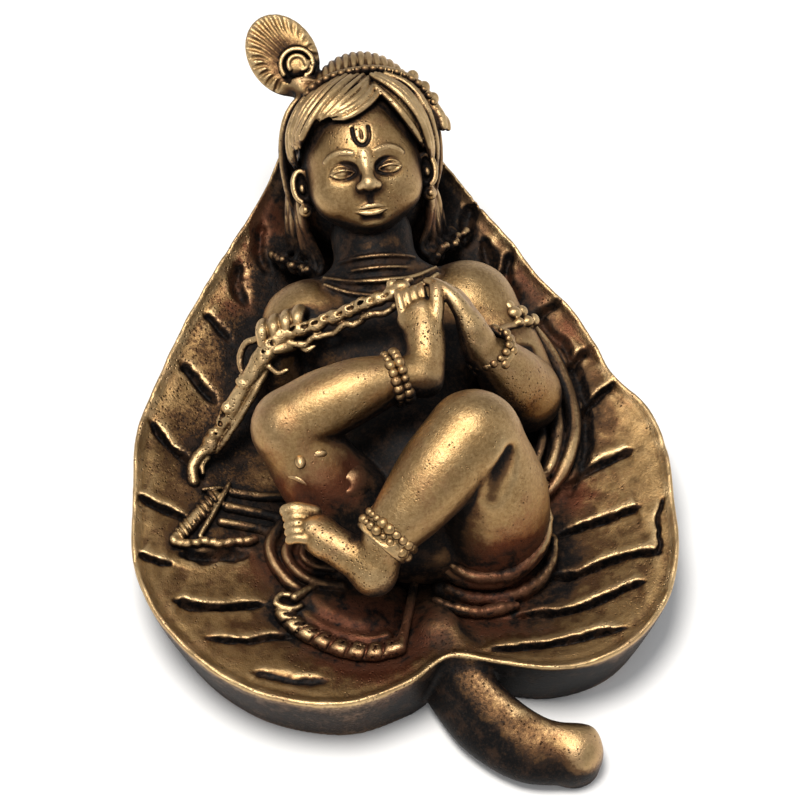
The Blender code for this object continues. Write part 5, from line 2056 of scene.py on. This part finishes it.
def add_light(name, place, size, power, colour):
    light = bpy.data.lights.new(name, "AREA")
    light.shape = "DISK"
    light.size = size
    light.energy = power
    light.color = colour
    obj = bpy.data.objects.new(name, light)
    obj.location = place
    obj.rotation_euler = (-Vector(place)).to_track_quat("-Z", "Y").to_euler()
    bpy.context.scene.collection.objects.link(obj)


# The width of the camera's film in millimetres. What it takes in and looks at, in metres, and how far
# the picture is shifted, as a share of its width
FILM_WIDTH = 36.0
VIEW_WIDTH = 0.0888
VIEW_TARGET = (0.0018, 0.0, 0.012)
VIEW_SHIFT = -5.0 / 800.0


def add_camera(sizes):
    """Where the reference picture was taken from: in front, well above, and a little to one side."""
    target = Vector(VIEW_TARGET)
    away = sizes.camera_distance
    rise = sizes.camera_elevation
    swing = sizes.camera_azimuth
    ahead = Vector((-math.sin(swing) * math.cos(rise), math.cos(swing) * math.cos(rise), -math.sin(rise)))
    right = Vector((math.cos(swing), math.sin(swing), 0.0))
    upward = right.cross(ahead)
    data = bpy.data.cameras.new("camera")
    data.sensor_width = FILM_WIDTH
    data.lens = FILM_WIDTH * away / VIEW_WIDTH
    data.shift_x = VIEW_SHIFT
    data.clip_start = 0.01
    camera = bpy.data.objects.new("camera", data)
    turn = Matrix((right, upward, -ahead)).transposed().to_4x4()
    camera.matrix_world = Matrix.Translation(target - ahead * away) @ turn
    bpy.context.scene.collection.objects.link(camera)
    bpy.context.scene.camera = camera


def add_stage(sizes):
    add_floor(sizes)
    add_light("key", (-0.06, -0.02, 0.45), 0.18, 1.9, (1.0, 0.97, 0.93))
    add_light("front", (-0.04, -0.40, 0.36), 0.22, 0.14, (1.0, 0.98, 0.96))
    add_light("side", (0.42, 0.04, 0.20), 0.18, 0.14, (0.96, 0.98, 1.0))
    world = bpy.data.worlds.new("studio")
    world.use_nodes = True
    world.node_tree.nodes["Background"].inputs["Color"].default_value = (0.9, 0.92, 0.95, 1.0)
    world.node_tree.nodes["Background"].inputs["Strength"].default_value = 0.45
    bpy.context.scene.world = world
    bpy.context.scene.view_settings.view_transform = "Standard"
    add_camera(sizes)


# The add-on


def length(name, default, description):
    return FloatProperty(
        name=name, description=description, default=default, min=0.0, unit="LENGTH", subtype="DISTANCE",
    )


def angle(name, degrees, description):
    return FloatProperty(
        name=name, description=description,
        default=math.radians(degrees),
        unit="ROTATION", subtype="ANGLE",
    )


class StatueSizes(bpy.types.PropertyGroup):
    """Every size of the statue that can be set."""

    leaf_width: length("Leaf Width", 0.0592, "Width of the leaf before its edge swells")
    leaf_length: length("Leaf Length", 0.0800, "Length of the leaf from which its outline is taken")
    floor_thickness: length("Floor Thickness", 0.0040, "Thickness of the leaf in its middle")
    rim_height: length("Rim Height", 0.0092, "Height of the leaf's rim above the ground")
    tip_height: length("Tip Height", 0.0138, "Height of the leaf's raised tip")
    undercut: length("Undercut", 0.0026, "How far the foot of the wall stands inside the rim")
    vein_depth: length("Vein Depth", 0.0008, "Depth of the veins cut in the leaf")
    stem_radius: length("Stem Radius", 0.0030, "Radius of the leaf's stem")
    stem_reach: length("Stem Reach", 0.0105, "How far the stem stands out from the notch")
    stem_swing: length("Stem Swing", 0.0135, "How far the stem swings to one side")
    figure_length: length("Figure Length", 0.0660, "Length of the child, which its forms follow")
    bead_radius: length("Bead Radius", 0.00052, "Radius of the beads on anklets and band")
    head_tilt: angle("Head Tilt", 58.0, "How far the face is tilted up from the ground's plane")
    head_roll: angle("Head Roll", 2.5, "How far the head leans to one side")
    camera_distance: length("Camera Distance", 0.330, "From the camera to the statue")
    camera_elevation: angle("Camera Elevation", 55.0, "Height of the camera above the ground's plane")
    camera_azimuth: angle("Camera Azimuth", -7.0, "How far the camera stands to one side")
    grain: FloatProperty(name="Grain", description="Coarseness of the clay's cells", default=1.0, min=0.5)
    most_faces: IntProperty(
        name="Most Faces", description="Triangles of the largest piece", default=185000,
    )


class StatueStep(bpy.types.Operator):
    """One step in making the statue."""

    bl_options = {"REGISTER", "UNDO"}

    def execute(self, context):
        self.make(context.scene.statue_sizes)
        return {"FINISHED"}


class STATUE_OT_leaf(StatueStep):
    """Sculpt the leaf with its veins and its stem"""

    bl_idname = "statue.leaf"
    bl_label = "Leaf"

    def make(self, sizes):
        cast("leaf", sculpt_leaf(sizes), sizes.most_faces)


class STATUE_OT_body(StatueStep):
    """Sculpt the child's body and limbs"""

    bl_idname = "statue.body"
    bl_label = "Body"

    def make(self, sizes):
        cast("body", sculpt_body(sizes), 0.9 * sizes.most_faces, uneven=0.03)


class STATUE_OT_face(StatueStep):
    """Sculpt the face and the ears"""

    bl_idname = "statue.face"
    bl_label = "Face"

    def make(self, sizes):
        cast("face", sculpt_face(sizes), 0.75 * sizes.most_faces)


class STATUE_OT_hair(StatueStep):
    """Sculpt the hair, the pleated cap and the plume"""

    bl_idname = "statue.hair"
    bl_label = "Hair"

    def make(self, sizes):
        cast("hair", sculpt_hair(sizes), 0.95 * sizes.most_faces)


class STATUE_OT_dress(StatueStep):
    """Sculpt the scarf, the sash and the folds of cloth"""

    bl_idname = "statue.dress"
    bl_label = "Dress"

    def make(self, sizes):
        cast("dress", sculpt_dress(sizes), 0.65 * sizes.most_faces, uneven=0.06)


class STATUE_OT_rod(StatueStep):
    """Sculpt the rod held in the fist"""

    bl_idname = "statue.rod"
    bl_label = "Rod"

    def make(self, sizes):
        cast("rod", sculpt_rod(sizes), 0.4 * sizes.most_faces, uneven=0.10)


class STATUE_OT_beads(StatueStep):
    """Lay the beads of the anklets, the bracelet and the band"""

    bl_idname = "statue.beads"
    bl_label = "Beads"

    def make(self, sizes):
        lay_beads(sizes)


class STATUE_OT_ribs(StatueStep):
    """Lay the ribs of the sash's strip"""

    bl_idname = "statue.ribs"
    bl_label = "Ribs"

    def make(self, sizes):
        lay_ribs(sizes)


class STATUE_OT_age(StatueStep):
    """Find where the brass is worn and where it is dark"""

    bl_idname = "statue.age"
    bl_label = "Age"

    def make(self, sizes):
        age_pieces()


class STATUE_OT_stage(StatueStep):
    """Set the floor, the lights and the camera"""

    bl_idname = "statue.stage"
    bl_label = "Stage"

    def make(self, sizes):
        add_stage(sizes)


STEPS = (
    STATUE_OT_leaf, STATUE_OT_body, STATUE_OT_face, STATUE_OT_hair, STATUE_OT_dress, STATUE_OT_rod,
    STATUE_OT_beads, STATUE_OT_ribs, STATUE_OT_age, STATUE_OT_stage,
)


class STATUE_PT_panel(bpy.types.Panel):
    """The statue's sizes and the steps that make it"""

    bl_label = "Leaf Statue"
    bl_space_type = "VIEW_3D"
    bl_region_type = "UI"
    bl_category = "Statue"

    def draw(self, context):
        for name in StatueSizes.__annotations__:
            self.layout.prop(context.scene.statue_sizes, name)
        for step in STEPS:
            self.layout.operator(step.bl_idname)


CLASSES = (StatueSizes, *STEPS, STATUE_PT_panel)


def register():
    for cls in CLASSES:
        bpy.utils.register_class(cls)
    bpy.types.Scene.statue_sizes = PointerProperty(type=StatueSizes)


def unregister():
    del bpy.types.Scene.statue_sizes
    for cls in reversed(CLASSES):
        bpy.utils.unregister_class(cls)


def main():
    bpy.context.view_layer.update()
    register()
    for step in STEPS:
        family, name = step.bl_idname.split(".")
        getattr(getattr(bpy.ops, family), name)()


if __name__ == "__main__":
    main()
